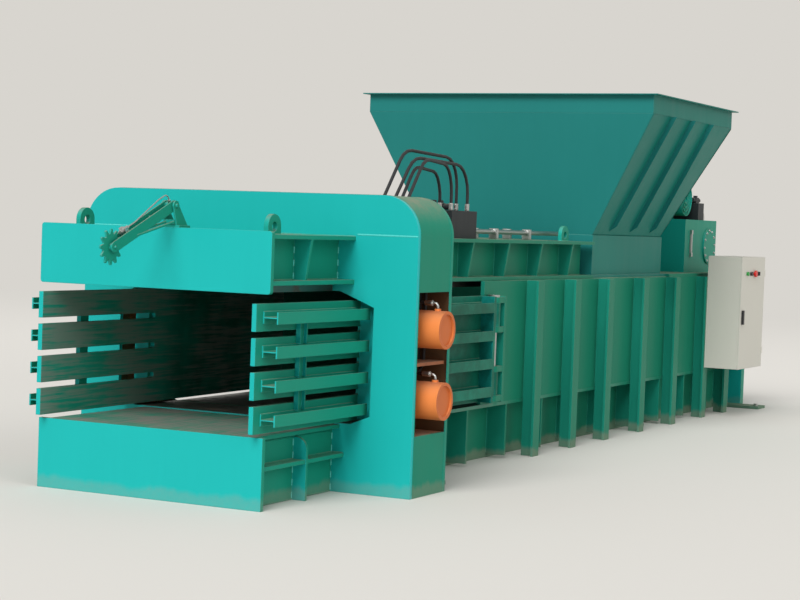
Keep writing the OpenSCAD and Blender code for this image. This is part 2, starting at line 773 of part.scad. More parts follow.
// Elbow on a cylinder port: up, then towards v
module port_elbow(v) {
    bar(rounded([[0, 0, 0], [0, 0, elbow_rise], v * elbow_run + [0, 0, elbow_rise]], [elbow_bend]), elbow_r);
    translate(v * elbow_run + [0, 0, elbow_rise]) towards(v) swaged_end();
}
module window_fittings() {
    at_squeeze() translate([port_x[1], 0, port_top]) port_elbow([-1, 0, 0]);
    translate([port_x[0], portal_d / 2, squeeze_low + port_top]) port_elbow([0, 1, 0]);
    translate([port_x[0], portal_d / 2, squeeze_high + port_top]) swaged_end();
}
// Each hose inside the portal, from its swaged end to the rear plate at height z
function inner_path(i) = let (
    low = i > 1,
    y = low ? riser_y : portal_d / 2,
    z = hose_exit[i == 0 || i == 3 ? 1 : 0],
    level = (low ? squeeze_low : squeeze_high) + port_top + elbow_rise,
    cap = i == 0 || i == 3,
    foot = cap ? [port_x[1] - elbow_run - fit_len, portal_d / 2, level]
        : low ? [port_x[0], portal_d / 2 + elbow_run + fit_len, level]
        : [port_x[0], portal_d / 2, squeeze_high + port_top + fit_len],
    x = riser_x[cap ? 1 : 0])
    concat([foot], cap ? [[x, portal_d / 2, level]] : [], low ? [[x, riser_y, level]] : [],
        [[x, y, z], [hose_x(i), y, z]]);
function inner_bends(i) = [for (k = [2:len(inner_path(i))]) hose_bend];
function right_path(i) = let (port = top_ports[i], z = hose_exit[i == 0 || i == 3 ? 1 : 0])
    concat(inner_path(i), [[hose_x(i), portal_d + 170, z],
        [(2 * hose_x(i) + port[0]) / 3, portal_d + 620, crown[i]],
        [port[0], port[1], crown[i] - 25], [port[0], port[1], manifold_top + fit_len]]);
function left_path(i) = let (
    y = manifold_y - manifold_l / 2 + 60 + 80 * i,
    z = hose_exit[i == 0 || i == 3 ? 1 : 0],
    rest = beam_top + hose_r + 0.3)
    concat([for (q = inner_path(i)) [-q[0], q[1], q[2]]],
        [[-hose_x(i), portal_d + 120, z], [-hose_x(i), portal_d + 420, rest], [-hose_x(i), y, rest],
            [manifold_left - 260, y, rest], [manifold_left - fit_len - 40, y, left_port_z],
            [manifold_left - fit_len, y, left_port_z]]);
left_port_z = beam_top + 30;
// Supply pipes from the valve block to the manifold run along the left side, on top of the posts
clamp_h = 63;
side_pipe_x = [wall_out + 55, wall_out + 100];
side_pipe_z = ceiling_plate + 38;
pipe_z = beam_top + 52;
pipe_x = [manifold_x - 90, manifold_x + 70];
cross_y = [chamber_y - 240, chamber_y - 160];
module pipe(p) { bar(rounded(p, [for (i = [1:len(p)]) pipe_bend]), pipe_r); }
module supply_pipes() {
    manifold_back = manifold_y + manifold_l / 2;
    pipe([[pipe_x[0], manifold_back, pipe_z], [pipe_x[0], cross_y[0], pipe_z], [-side_pipe_x[0], cross_y[0], pipe_z],
        [-side_pipe_x[0], cross_y[0], side_pipe_z], [-side_pipe_x[0], block_y - 20, side_pipe_z],
        [-side_pipe_x[0], block_y - 20, block_z + 70], [block_x[0], block_y - 20, block_z + 70]]);
    pipe([[pipe_x[1], manifold_back, pipe_z], [pipe_x[1], cross_y[1], pipe_z], [-side_pipe_x[1], cross_y[1], pipe_z],
        [-side_pipe_x[1], cross_y[1], side_pipe_z], [-side_pipe_x[1], tank_y + 300, side_pipe_z],
        [-side_pipe_x[1], tank_y + 300, side_pipe_z + 300], [-tank_w / 2, tank_y + 300, side_pipe_z + 300]]);
    pipe([[block_x[0] + 60, block_y + block_l / 2, block_z + 100],
        [block_x[0] + 60, crosshead_back + main_flange_t / 2, block_z + 100],
        [block_x[0] + 60, crosshead_back + main_flange_t / 2, main_z + main_flange_r + 250],
        [0, crosshead_back + main_flange_t / 2, main_z + main_flange_r + 250],
        [0, crosshead_back + main_flange_t / 2, main_z + main_flange_r]]);
}
// Union nuts at the manifold, clamps on the top beam and on the posts
module pipe_clamps() {
    for (x = pipe_x) translate([x, 0, pipe_z])
        rod_y(pipe_r + 8, [manifold_y + manifold_l / 2, manifold_y + manifold_l / 2 + 25], $fn = 6);
    for (x = pipe_x, y = [manifold_y + 700, manifold_y + 1300])
        span([x - 32, x + 32], [y - 15, y + 15], [beam_top, pipe_z + pipe_r + 8]);
    for (y = [for (q = post_y) if (q > cross_y[1] + 60 && q < tank_y) q])
        span([-side_pipe_x[1] - 10, -side_pipe_x[0] + 26], [y - web_t / 2, y + web_t / 2],
            [ceiling_plate, ceiling_plate + clamp_h]);
}
module hydraulic_pipes() {
    color(bright) place() {
        both_sides() window_fittings();
        for (q = top_ports) translate([q[0], q[1], manifold_top]) swaged_end();
        for (i = [0:3]) translate([manifold_left, manifold_y - manifold_l / 2 + 60 + 80 * i, left_port_z])
            towards([-1, 0, 0]) swaged_end();
        supply_pipes();
        pipe_clamps();
        translate(pump_port) towards([0, 1, 0]) swaged_end();
        translate(block_hose) towards([-1, 0, 0]) swaged_end();
    }
}
module hydraulic_hoses() {
    color(dark) place() {
        for (i = [0:3]) {
            bar(rounded(right_path(i), concat(inner_bends(i), [150, 230, 200])), hose_r);
            bar(rounded(left_path(i), concat(inner_bends(i), [150, 300, hose_bend, 150, 150])), hose_r);
        }
        bar(rounded([pump_port + [0, fit_len, 0], [pump_port[0], block_hose[1], pump_port[2]],
            block_hose - [fit_len + 110, 0, 0], block_hose - [fit_len, 0, 0]], [100, 150]), hose_r);
    }
}

// Hopper
collar_half = collar_w / 2;
collar_front = chamber_y + 10;
collar_back = feed_back - 10;
flare_h = flare_top - collar_top;
rim_half = collar_half + flare_side * flare_h;
rim_front = collar_front - flare_front * flare_h;
rim_back = collar_back + flare_rear * flare_h;
module hopper_collar() {
    color(side_green) place() {
        difference() {
            span([-beam_half, beam_half], [chamber_y - 60, feed_back + 60], [ceiling_plate, ceiling_top]);
            span([-collar_half, collar_half], [collar_front, collar_back], [ceiling_plate - 1, ceiling_top + 1]);
        }
        difference() {
            span([-collar_half - 20, collar_half + 20], [collar_front - 20, collar_back + 20],
                [ceiling_top - 1, collar_top]);
            span([-collar_half, collar_half], [collar_front, collar_back], [ceiling_top - 2, collar_top + 1]);
        }
    }
}
// A sloping sheet between a low and a high edge, each given as [x0, x1] or [y0, y1]
module side_panel() {
    polyhedron(points = [
        [collar_half, collar_front, collar_top], [collar_half, collar_back, collar_top],
        [rim_half, rim_back, flare_top], [rim_half, rim_front, flare_top],
        [collar_half + hopper_t, collar_front, collar_top], [collar_half + hopper_t, collar_back, collar_top],
        [rim_half + hopper_t, rim_back, flare_top], [rim_half + hopper_t, rim_front, flare_top]],
        faces = [[0, 1, 2, 3], [7, 6, 5, 4], [4, 5, 1, 0], [5, 6, 2, 1], [6, 7, 3, 2], [7, 4, 0, 3]]);
}
module end_panel(y_low, y_high, step) {
    a = collar_half + hopper_t;
    b = rim_half + hopper_t;
    polyhedron(points = [
        [-a, y_low, collar_top], [a, y_low, collar_top], [b, y_high, flare_top], [-b, y_high, flare_top],
        [-a, y_low + step, collar_top], [a, y_low + step, collar_top],
        [b, y_high + step, flare_top], [-b, y_high + step, flare_top]],
        faces = step > 0
            ? [[3, 2, 1, 0], [4, 5, 6, 7], [0, 1, 5, 4], [1, 2, 6, 5], [2, 3, 7, 6], [3, 0, 4, 7]]
            : [[0, 1, 2, 3], [7, 6, 5, 4], [4, 5, 1, 0], [5, 6, 2, 1], [6, 7, 3, 2], [7, 4, 0, 3]]);
}
// Stiffener on a sloping panel, from its foot to its upper edge. Its thickness is that of the sheet.
rib_d = 45;
module panel_rib(foot, slope) {
    function out(z) = foot + slope * (z - collar_top);
    low = collar_top + 30;
    polygon([[out(low) - 1, low], [out(low + rib_d), low + rib_d] + [rib_d, 0],
        [out(flare_top) + rib_d, flare_top], [out(flare_top) - 1, flare_top]]);
}
module hopper_side_panels() {
    color(side_green) place() both_sides() {
        side_panel();
        for (i = [0.2, 0.5, 0.8]) let (y = collar_front + i * (collar_back - collar_front))
            along_y([y - hopper_t / 2, y + hopper_t / 2]) panel_rib(collar_half + hopper_t, flare_side);
    }
}
module hopper_end_panels() {
    color(body_green) place() {
        end_panel(collar_front, rim_front, -hopper_t);
        end_panel(collar_back, rim_back, hopper_t);
        for (x = [-0.55, 0, 0.55] * collar_half) translate([x, collar_back, 0])
            along_x([-hopper_t / 2, hopper_t / 2]) panel_rib(hopper_t, flare_rear);
    }
}
module hopper_rim() {
    t = hopper_t;
    lip = t + rib_d;
    top = flare_top + rim_h;
    color(side_green) place() difference() {
        union() {
            span([-rim_half - t, rim_half + t], [rim_front - t, rim_back + t], [flare_top, top]);
            span([-rim_half - lip, rim_half + lip], [rim_front - lip, rim_back + lip], [top - t, top]);
        }
        span([-rim_half, rim_half], [rim_front, rim_back], [flare_top - 1, top + 1]);
    }
}
module fixed_shear_blade() {
    color(bright) place()
        span([-channel_half + 2, channel_half - 2], [chamber_y - 60, chamber_y], [ceiling_z, ceiling_plate]);
}
module housing_roof() {
    color(side_green) place() {
        span([-wall_out, wall_out], [feed_back + 60, housing_back], [ceiling_plate, ceiling_top]);
        for (x = [-1, 1]) span([x * roof_rib_x - web_t / 2, x * roof_rib_x + web_t / 2],
            [feed_back + 60, tank_y - 40], [ceiling_top - 1, ceiling_top + 90]);
    }
}
roof_rib_x = 350;

// Main cylinder and crosshead
main_z = floor_z + 390;
main_flange_r = main_r + 90;
crosshead_rib_x = [main_flange_r + 170, wall_out - 105];
crosshead_rib_d = main_flange_t + 25;
module rear_crosshead() {
    ribs = [crosshead_back - 1, crosshead_back + crosshead_rib_d];
    color(body_green) place() {
        difference() {
            span([-wall_out, wall_out], [housing_back, crosshead_back], [0, ceiling_top]);
            translate([0, 0, main_z]) rod_y(main_r, [housing_back - 1, crosshead_back + 1]);
        }
        both_sides() {
            for (x = crosshead_rib_x) span([x - web_t / 2, x + web_t / 2], ribs, [0, ceiling_top]);
            for (z = [-1, 1]) span([crosshead_rib_x[0], crosshead_rib_x[1]], ribs,
                [main_z + z * main_flange_r - web_t / 2, main_z + z * main_flange_r + web_t / 2]);
        }
    }
}
main_front = feed_back + 400;
main_head = 120;
module main_barrel() {
    color(orange) place() translate([0, 0, main_z]) difference() {
        union() {
            rod_y(main_r, [main_front, main_back]);
            rod_y(main_r + 30, [main_front, main_front + main_head]);
            rod_y(main_flange_r, [crosshead_back, crosshead_back + main_flange_t]);
        }
        rod_y(main_rod_r + run_gap, [main_front - 1, main_front + main_head + 1]);
        rod_y(main_r - main_wall, [main_front + main_head, main_back - 60]);
    }
}
ram_front = feed_back + 20;
ram_half = channel_half - ram_side;
ram_z = floor_z + ram_low + shoe_h;
module ram_rod() {
    back = main_back - 80;
    color(bright) place() translate([0, 0, main_z]) {
        rod_y(main_rod_r, [ram_front + platen_t, back]);
        rod_y(main_r - main_wall - run_gap, [back - 80, back]);
    }
}
module ram_platen() {
    color(body_green) place() difference() {
        span([-ram_half, ram_half], [ram_front, ram_front + platen_t], [ram_z, ram_z + ram_h]);
        for (i = [0:2]) span([-ram_half - 1, ram_half + 1], [ram_front - 1, ram_front + wire_groove],
            [slat_mid(i) + slat_h / 2, slat_mid(i) + slat_h / 2 + slot_h]);
        span([-ram_half - 1, ram_half + 1], [ram_front - 1, ram_front + blade_d],
            [blade_z[0], ram_z + ram_h + 1]);
    }
}
blade_d = 45;
blade_gap = 3;
blade_z = [ceiling_z - blade_gap - 36, ceiling_z - blade_gap];
module ram_body() {
    w = ram_half - 20;
    color(side_green) place() difference() {
        span([-w, w], [ram_front + platen_t, ram_front + ram_len], [ram_z, ram_z + ram_h]);
        span([-w + ram_wall, w - ram_wall], [ram_front + platen_t + ram_wall, ram_front + ram_len + 1],
            [ram_z + ram_wall, ram_z + ram_h - ram_wall]);
        translate([0, 0, main_z]) rod_y(main_rod_r, [ram_front, ram_front + platen_t + ram_wall + 1]);
    }
}
module ram_blade() {
    color(bright) place()
        span([-ram_half, ram_half], [ram_front, ram_front + blade_d], blade_z);
}
module ram_shoes() {
    color(steel) place() both_sides() for (x = [ram_half - 120, 200])
        span([x - 60, x + 60], [ram_front + 20, ram_front + ram_len - 20], [ram_z - shoe_h, ram_z]);
}

// Power unit on the housing
tank_y = feed_back + tank_reach;
tank_top = ceiling_top + tank_h;
tank_t = 8;
cover_r = 0.34 * tank_h;
module oil_tank() {
    color(body_green) place() {
        difference() {
            span([-tank_w / 2, tank_w / 2], [tank_y, tank_y + tank_d], [ceiling_top, tank_top]);
            span([-tank_w / 2 + tank_t, tank_w / 2 - tank_t], [tank_y + tank_t, tank_y + tank_d - tank_t],
                [ceiling_top + tank_t, tank_top - tank_t]);
        }
        // Cleaning cover on the right side
        translate([0, tank_y + tank_d - 1.4 * cover_r, ceiling_top + tank_h / 2])
            rod_x(cover_r, [tank_w / 2 - 1, tank_w / 2 + 14]);
    }
}
// Filler with its breather cap on the lid, and the level gauge on the right side
module tank_fittings() {
    gauge_end = 0.15 * gauge_l;
    gauge_x = [tank_w / 2, tank_w / 2 + 0.09 * gauge_l];
    gauge_z = ceiling_top + 0.3 * tank_h;
    color(bright) place() {
        translate([-tank_w / 2 + 3.5 * filler_r, tank_y + 3.5 * filler_r, tank_top]) {
            cylinder(r = filler_r, h = 1.3 * filler_r);
            translate([0, 0, 1.3 * filler_r]) cylinder(r = 1.3 * filler_r, h = filler_r);
        }
        translate([0, tank_y + tank_d / 6, 0]) {
            span([gauge_x[0], gauge_x[0] + gauge_l / 30], [-gauge_end / 2, gauge_end / 2],
                [gauge_z, gauge_z + gauge_l]);
            for (z = [gauge_z, gauge_z + gauge_l - gauge_end])
                span(gauge_x, [-gauge_end / 2, gauge_end / 2], [z, z + gauge_end]);
            translate([gauge_x[0] + 0.054 * gauge_l, 0, gauge_z + gauge_end - 5])
                cylinder(r = 0.0375 * gauge_l, h = gauge_l - 2 * gauge_end + 10);
        }
    }
}
motor_z = tank_top + motor_r + 40;
motor_y = tank_y + tank_d / 2;
fin_h = 12;
// The motor's ribbed body ends in a fan cowl with an open grille. Its terminal box is on top.
module pump_motor() {
    cowl = [motor_len - 50, motor_len + 80];
    color(body_green) place() translate([0, motor_y, motor_z]) {
        rod_x(motor_r - fin_h, [0, cowl[0] + 1]);
        rod_x(motor_r, [0, 45]);
        along_x([40, cowl[0] - 8]) for (i = [0:motor_fins - 1]) rotate([0, 0, (i + 0.5) * 360 / motor_fins])
            translate([motor_r - fin_h - 2, -2.5]) square([fin_h + 2, 5]);
        difference() {
            rod_x(motor_r + 6, cowl);
            rod_x(motor_r - 2, [cowl[1] - 20, cowl[1] + 1]);
        }
        for (r = [40:36:motor_r - 20]) along_x([cowl[1] - 21, cowl[1] - 4]) difference() {
            circle(r = r + 5);
            circle(r = r - 5);
        }
        span([110, 260], [-70, 70], [motor_r - fin_h - 2, motor_r + 75]);
        span([104, 266], [-76, 76], [motor_r + 74, motor_r + 90]);
        for (s = [-1, 1]) span([60, motor_len - 90], [s * 120 - 30, s * 120 + 30], [-motor_r - 40, -motor_r - 22]);
        for (s = [-1, 1], x = [80, motor_len - 130]) span([x, x + 25], [s * 110 - 20, s * 110 + 20],
            [-motor_r - 30, -motor_r / 2]);
    }
}
pump_r = motor_r / 2;
pump_port = [-210, motor_y + pump_r + 15, motor_z];
module hydraulic_pump() {
    color(dark) place() translate([0, motor_y, motor_z]) {
        rod_x(motor_r - 10, [-14, 0]);
        rod_x(motor_r - 35, [-110, -13]);
        rod_x(pump_r + 20, [-124, -109]);
        rod_x(pump_r, [-290, -120]);
        rod_x(pump_r - 15, [-310, -289]);
        translate([pump_port[0], 0, 0]) rod_y(24, [pump_r / 2, pump_r + 15]);
        translate([pump_port[0], 0, -pump_r - 10]) cylinder(r = 32, h = pump_r);
        translate([pump_port[0], 0, tank_top - motor_z]) cylinder(r = 24, h = motor_z - tank_top - pump_r);
    }
}
block_x = [tank_w / 2 - 400, tank_w / 2 - 100];
block_y = tank_y + tank_d - 170;
block_l = 160;
block_h = 160;
block_z = tank_top;
block_hose = [block_x[0], block_y + 50, block_z + 60];
// Directional valve on a block: its body with a coil at each end, drawn along X
module valve(body, coil) {
    top = 1.08 * valve_w;
    span([-body / 2, body / 2], [-valve_w / 2, valve_w / 2], [-1, top]);
    both_sides() translate([0, 0, top / 2]) {
        rod_x(0.45 * valve_w, [body / 2 - 1, body / 2 + coil]);
        rod_x(0.19 * valve_w, [body / 2, body / 2 + coil + 8]);
    }
    span([-0.3 * valve_w, 0.3 * valve_w], [-valve_w / 3, valve_w / 3], [top - 1, 1.35 * top]);
}
module valve_block() {
    color(steel) place() {
        span(block_x, [block_y - block_l / 2, block_y + block_l / 2], [block_z, block_z + block_h]);
        for (i = [0.2, 0.5, 0.8]) translate([block_x[0] + i * (block_x[1] - block_x[0]), block_y, block_z + block_h])
            rotate([0, 0, 90]) valve(1.6 * valve_w, 1.08 * valve_w);
        // Manifold of the squeeze cylinders on the top beam
        span([manifold_left, manifold_left + manifold_w],
            [manifold_y - manifold_l / 2, manifold_y + manifold_l / 2], [beam_top, manifold_top]);
        for (i = [-1:1]) translate([manifold_left + manifold_w / 4, manifold_y + 2.3 * i * valve_w, manifold_top])
            valve(valve_w, valve_w);
    }
}

// Control cabinet on the right side of the housing
cabinet_x = wall_out + post_d;
cabinet_y = [cabinet_mid - cabinet_w / 2, cabinet_mid + cabinet_w / 2];
module cabinet_body() {
    x = [cabinet_x, cabinet_x + cabinet_d];
    color(pale) place() difference() {
        span(x, cabinet_y, [cabinet_z, cabinet_z + cabinet_h]);
        span([x[0] + cabinet_t, x[1] - rim_t], [cabinet_y[0] + cabinet_t, cabinet_y[1] - cabinet_t],
            [cabinet_z + cabinet_t, cabinet_z + cabinet_h - cabinet_t]);
        span([x[0] + cabinet_t, x[1] + 1], [cabinet_y[0] + rim_w, cabinet_y[1] - rim_w],
            [cabinet_z + rim_w, cabinet_z + cabinet_h - rim_w]);
    }
    // Fixed half of each hinge: leaf, barrel and pin
    color(pale) place() at_door_hinges() {
        span([-door_x[1] + x[1] - 35, -door_x[1] + x[1] - 1], [-1, 4], [0, barrel_h]);
        span([-door_x[1] + x[1] - 35, -door_barrel_r + 3], [0.3, 4], [0, barrel_h]);
        cylinder(r = door_barrel_r, h = barrel_h);
        cylinder(r = door_pin_r, h = 2 * barrel_h);
    }
}
// Door hinges: the axis is the outer edge of the door
barrel_h = 30;
barrel_gap = 1;
door_pin_r = door_barrel_r - 4;
module at_door_hinges() {
    for (z = [0.12, 0.82]) translate([door_x[1], cabinet_y[1], cabinet_z + z * cabinet_h]) children();
}
// Turned-in rim around the door opening, behind which the lock's cam turns
rim_t = 8;
rim_w = cabinet_t + 20;
lock_y = cabinet_y[0] + 50;
lock_r = 14;
cam_len = 34;
door_x = [cabinet_x + cabinet_d + 0.5, cabinet_x + cabinet_d + 0.5 + cabinet_t];
button_z = cabinet_z + cabinet_h - 150;
button_y = [for (i = [0:3]) cabinet_y[0] + 150 + i * 110];
module cabinet_door() {
    color(pale) place() difference() {
        union() {
            span(door_x, cabinet_y, [cabinet_z, cabinet_z + cabinet_h]);
            at_door_hinges() translate([0, 0, barrel_h + barrel_gap]) cylinder(r = door_barrel_r, h = barrel_h);
        }
        at_door_hinges() {
            translate([0, 0, -barrel_gap]) cylinder(r = door_barrel_r + barrel_gap, h = barrel_h + 2 * barrel_gap);
            cylinder(r = door_pin_r + run_gap, h = 2 * barrel_h + 2);
        }
        for (y = button_y) translate([0, y, button_z])
            rod_x(button_r + button_gap, [door_x[0] - 1, door_x[1] + 1]);
        translate([0, lock_y, cabinet_z + cabinet_h / 2])
            rod_x(lock_r + button_gap, [door_x[0] - 1, door_x[1] + 1]);
    }
}
module door_handle() {
    color(dark) place() translate([0, lock_y, cabinet_z + cabinet_h / 2]) {
        rod_x(lock_r, [door_x[0] - 20, door_x[1] + 20]);
        span([door_x[1] + 2, door_x[1] + 20], [-lock_r - 2, lock_r + 2], [-100, 25]);
        span([door_x[0] - 20, door_x[0] - 10], [-lock_r, lock_r], [-lock_r, cam_len]);
    }
}
module button(cap_r, cap_h) {
    rod_x(button_r, [door_x[0] - 10, door_x[1] + 12]);
    rod_x(cap_r, [door_x[1] + 10, door_x[1] + 10 + cap_h]);
    rod_x(button_r + 8, [door_x[0] - 16, door_x[0] - 9]);
}
module start_button() { color("green") place() translate([0, button_y[0], button_z]) button(button_r + 4, 10); }
module stop_button() { color("black") place() translate([0, button_y[1], button_z]) button(button_r + 4, 10); }
module emergency_button() { color("red") place() translate([0, button_y[2], button_z]) button(30, 16); }
module mode_switch() {
    color(dark) place() translate([0, button_y[3], button_z]) {
        rod_x(button_r, [door_x[0] - 10, door_x[1] + 2]);
        rod_x(button_r + 4, [door_x[1] + 1, door_x[1] + 10]);
        span([door_x[1] + 9, door_x[1] + 24], [-5, 5], [-18, 18]);
        rod_x(button_r + 8, [door_x[0] - 16, door_x[0] - 9]);
    }
}

// Bale length counter
cheek_gap = 34;
module counter_bracket() {
    color(side_green) place() translate([counter_x, 0, 0]) {
        span([-60, 60], [-exit_reach, -exit_reach + 110], [header_top, header_top + 12]);
        span([-60, 60], [-exit_reach + end_plate, -exit_reach + 110], [beam_top, header_top + 1]);
        both_sides() along_x([cheek_gap, cheek_gap + 10]) difference() {
            union() {
                polygon([[-exit_reach, header_top + 11], [-exit_reach + 110, header_top + 11],
                    [pivot_y + 28, pivot_z], [pivot_y - 28, pivot_z]]);
                translate([pivot_y, pivot_z]) circle(r = 28);
            }
            translate([pivot_y, pivot_z]) circle(r = 12);
        }
        translate([0, pivot_y, pivot_z]) rod_x(12, [-cheek_gap - 22, cheek_gap + 22]);
        span([-40, 40], [stop_y, stop_y + 12], [header_top + 11, stop_z + 14]);
    }
}
stop_gap = 0.4;
stop_y = -exit_reach + 2;
stop_t = 10;
stop_z = header_top + 30;
hub_r = 22;
module along_arm() {
    translate([counter_x, pivot_y, pivot_z]) rotate([counter_tilt, 0, 0]) children();
}
module counter_arm() {
    bar = [-counter_arm, 0];
    color(side_green) place() along_arm() difference() {
        union() {
            both_sides() span([22, 30], bar, [-30, 30]);
            both_sides() rod_x(30, [22, 30]);
            both_sides() translate([0, -counter_arm, 0]) rod_x(30, [22, 30]);
            rod_x(hub_r, [-30, 30]);
            for (y = [-0.3, -0.65]) translate([0, y * counter_arm, 0]) rod_x(10, [-25, 25]);
            translate([0, -counter_arm, 0]) both_sides() rod_x(8, [-1, 40]);
            arm_stop();
        }
        rod_x(12 + run_gap, [-40, 40]);
    }
}
// The brace under the arm ends in a pad that rests against the bracket
brace_r = 7;
brace_low = [-counter_arm * 0.65, -20];
module arm_stop() {
    // The pad's place in the arm's own frame, worked out from its place on the header
    dy = stop_y - stop_gap - stop_t - pivot_y;
    dz = stop_z - pivot_z;
    high = [dy * cos(counter_tilt) + dz * sin(counter_tilt), -dy * sin(counter_tilt) + dz * cos(counter_tilt)];
    run = high - brace_low;
    for (x = [-26, 26]) translate([x, brace_low[0], brace_low[1]])
        rotate([-90 + atan2(run[1], run[0]), 0, 0]) cylinder(r = brace_r, h = norm(run));
    translate([0, high[0], high[1]]) rotate([-counter_tilt, 0, 0])
        span([-33, 33], [-stop_t / 2, stop_t], [-12, 12]);
}
// Sensor that counts the teeth of the star wheel. Its cable runs back above the arm to the hub.
sensor_r = 12;
cable_r = 4;
sensor_y = -counter_arm + star_r + 7;
module counter_sensor() {
    hub_top = [0, 0, 34];
    color(bright) place() along_arm() {
        span([-22, 22], [sensor_y + 25, sensor_y + 50], [15, 55]);
        translate([0, 0, 40]) rod_y(sensor_r, [sensor_y, sensor_y + 75]);
        difference() {
            cylinder(r = 9, h = hub_top[2]);
            rod_x(hub_r, [-30, 30]);
        }
        bar(rounded([[0, sensor_y + 74, 40], [0, sensor_y + 150, 40], [0, -100, 72], [0, 0, 72], hub_top - [0, 0, 1]],
            [200, 200, 34]), cable_r);
    }
}
module star_wheel() {
    color(side_green) place() translate([counter_x, star_y, star_z]) difference() {
        union() {
            rod_x(star_r - 28, [-6, 6]);
            rod_x(20, [-20, 20]);
            for (i = [0:star_teeth - 1]) rotate([i * 360 / star_teeth, 0, 0]) along_x([-6, 6])
                polygon([[-16, star_r - 34], [16, star_r - 34], [5, star_r - 1], [-5, star_r - 1]]);
        }
        rod_x(8 + run_gap, [-30, 30]);
    }
}

portal_front_plate();
portal_rear_plate();
portal_arch_band();
portal_foot_bands();
portal_shelves();
portal_cheeks();
channel_liners();
squeeze_barrels();
squeeze_rods_right();
squeeze_rods_left();
exit_header_plate();
exit_top_beam();
lifting_lugs();
exit_sill_plate();
exit_base();
channel_floor();
base_beams();
anchor_feet();
channel_top_beam();
side_walls();
side_posts();
hinge_posts();
gate_pins();
gate_plate_right();
gate_rails_right();
gate_bracing_right();
gate_plate_left();
gate_rails_left();
gate_bracing_left();
hopper_collar();
hopper_side_panels();
hopper_end_panels();
hopper_rim();
fixed_shear_blade();
housing_roof();
rear_crosshead();
main_barrel();
ram_rod();
ram_body();
ram_platen();
ram_blade();
ram_shoes();
oil_tank();
tank_fittings();
pump_motor();
hydraulic_pump();
valve_block();
cabinet_body();
cabinet_door();
door_handle();
start_button();
stop_button();
emergency_button();
mode_switch();
counter_bracket();
counter_arm();
counter_sensor();
star_wheel();
hydraulic_pipes();
hydraulic_hoses();
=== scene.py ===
"""Looks of a horizontal recycling baler: its finishes, weld seams, fasteners, floor, light and camera.

Lengths are in metres in the shared frame: X across, Y along the machine with the exit at -Y, Z up."""

import json
import math

import bpy
import numpy as np
from mathutils import Matrix, Vector


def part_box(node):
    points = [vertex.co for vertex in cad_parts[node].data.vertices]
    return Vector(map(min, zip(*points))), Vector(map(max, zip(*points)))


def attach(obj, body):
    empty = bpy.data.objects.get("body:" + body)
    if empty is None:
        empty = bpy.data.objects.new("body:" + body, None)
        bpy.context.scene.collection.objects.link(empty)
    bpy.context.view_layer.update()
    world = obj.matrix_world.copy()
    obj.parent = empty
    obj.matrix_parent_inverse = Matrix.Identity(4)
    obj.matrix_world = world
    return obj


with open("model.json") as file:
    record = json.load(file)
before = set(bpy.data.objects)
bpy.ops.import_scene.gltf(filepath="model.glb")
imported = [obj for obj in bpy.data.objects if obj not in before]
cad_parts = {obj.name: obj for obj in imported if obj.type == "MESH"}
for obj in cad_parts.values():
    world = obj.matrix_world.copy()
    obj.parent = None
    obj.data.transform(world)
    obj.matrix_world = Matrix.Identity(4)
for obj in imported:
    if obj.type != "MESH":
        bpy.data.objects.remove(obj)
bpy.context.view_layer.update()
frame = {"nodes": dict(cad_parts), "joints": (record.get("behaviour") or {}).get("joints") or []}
NODES = frame["nodes"]
HINGE = {joint["name"]: joint for joint in frame["joints"]}
# Where the front face of the portal stands, from which the places along the machine are counted
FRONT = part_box("portal_front_plate")[0][1]

# Colours as they show in daylight, red green blue from 0 to 255. The front, side, ahead, edge and band
# greens are tones of one paint, as are the channel pair, the hopper pair, the seam pair and the two
# oranges: painted light and shade by which way a face looks.
FRONT_GREEN = (27, 176, 172)
SIDE_GREEN = (26, 142, 118)
SIDE_AHEAD = (27, 162, 148)
EDGE_TEAL = (38, 184, 182)
# Painted shade that darkens the gates behind the portal
BAND_GREEN = (10, 132, 106)
BEHIND_PORTAL_SHADE = (12, 72, 54)
CHANNEL_GREEN = (28, 122, 96)
CHANNEL_AHEAD = (28, 136, 116)
HOPPER_GREEN = (22, 116, 104)
HOPPER_AHEAD = (34, 122, 118)
SEAM_ACROSS = (112, 178, 158)
SEAM_ALONG = (84, 208, 200)
PRIMER_BROWN = (158, 98, 64)
# A darker copy of the primer for the portal box's inner faces: painted shade
PRIMER_SHADE = (92, 70, 50)
CYLINDER_ORANGE = (204, 110, 58)
ORANGE_ALONG = (234, 136, 72)
ROD_CHROME = (205, 208, 212)
WORN_PLATE = (128, 126, 120)
RUBBED_STEEL = (148, 146, 138)
HOSE_BLACK = (22, 24, 27)
ZINC = (188, 190, 188)
CABINET_GREY = (206, 204, 194)
SIGNAL_GREEN = (22, 140, 52)
SIGNAL_RED = (196, 24, 18)
SWITCH_BLACK = (26, 26, 28)
PUMP_DARK = (44, 48, 50)
DUST = (150, 141, 122)
RUST = (110, 66, 40)
FLOOR_PALE = (216, 213, 207)


def linear(colour):
    """Turns a display colour from 0 to 255 into linear light, with alpha 1."""
    out = []
    for channel in colour:
        c = channel / 255
        out.append(c / 12.92 if c <= 0.04045 else ((c + 0.055) / 1.055) ** 2.4)
    return (*out, 1.0)


def toned(colour, share, lift=0):
    """A darker or paler tone of a display colour, in linear light."""
    return linear(tuple(min(255, int(c * share + lift)) for c in colour))


# Shader nodes


def feed(tree, inputs, sockets):
    """Gives input sockets, by name or number, a value or another node's output."""
    for key, value in sockets.items():
        if isinstance(value, bpy.types.NodeSocket):
            tree.links.new(value, inputs[key])
        else:
            inputs[key].default_value = value


def add(tree, kind, settings=None, sockets=None):
    """Adds one shader node with its settings and what its sockets get."""
    node = tree.nodes.new("ShaderNode" + kind)
    for name, value in (settings or {}).items():
        setattr(node, name, value)
    feed(tree, node.inputs, sockets or {})
    return node


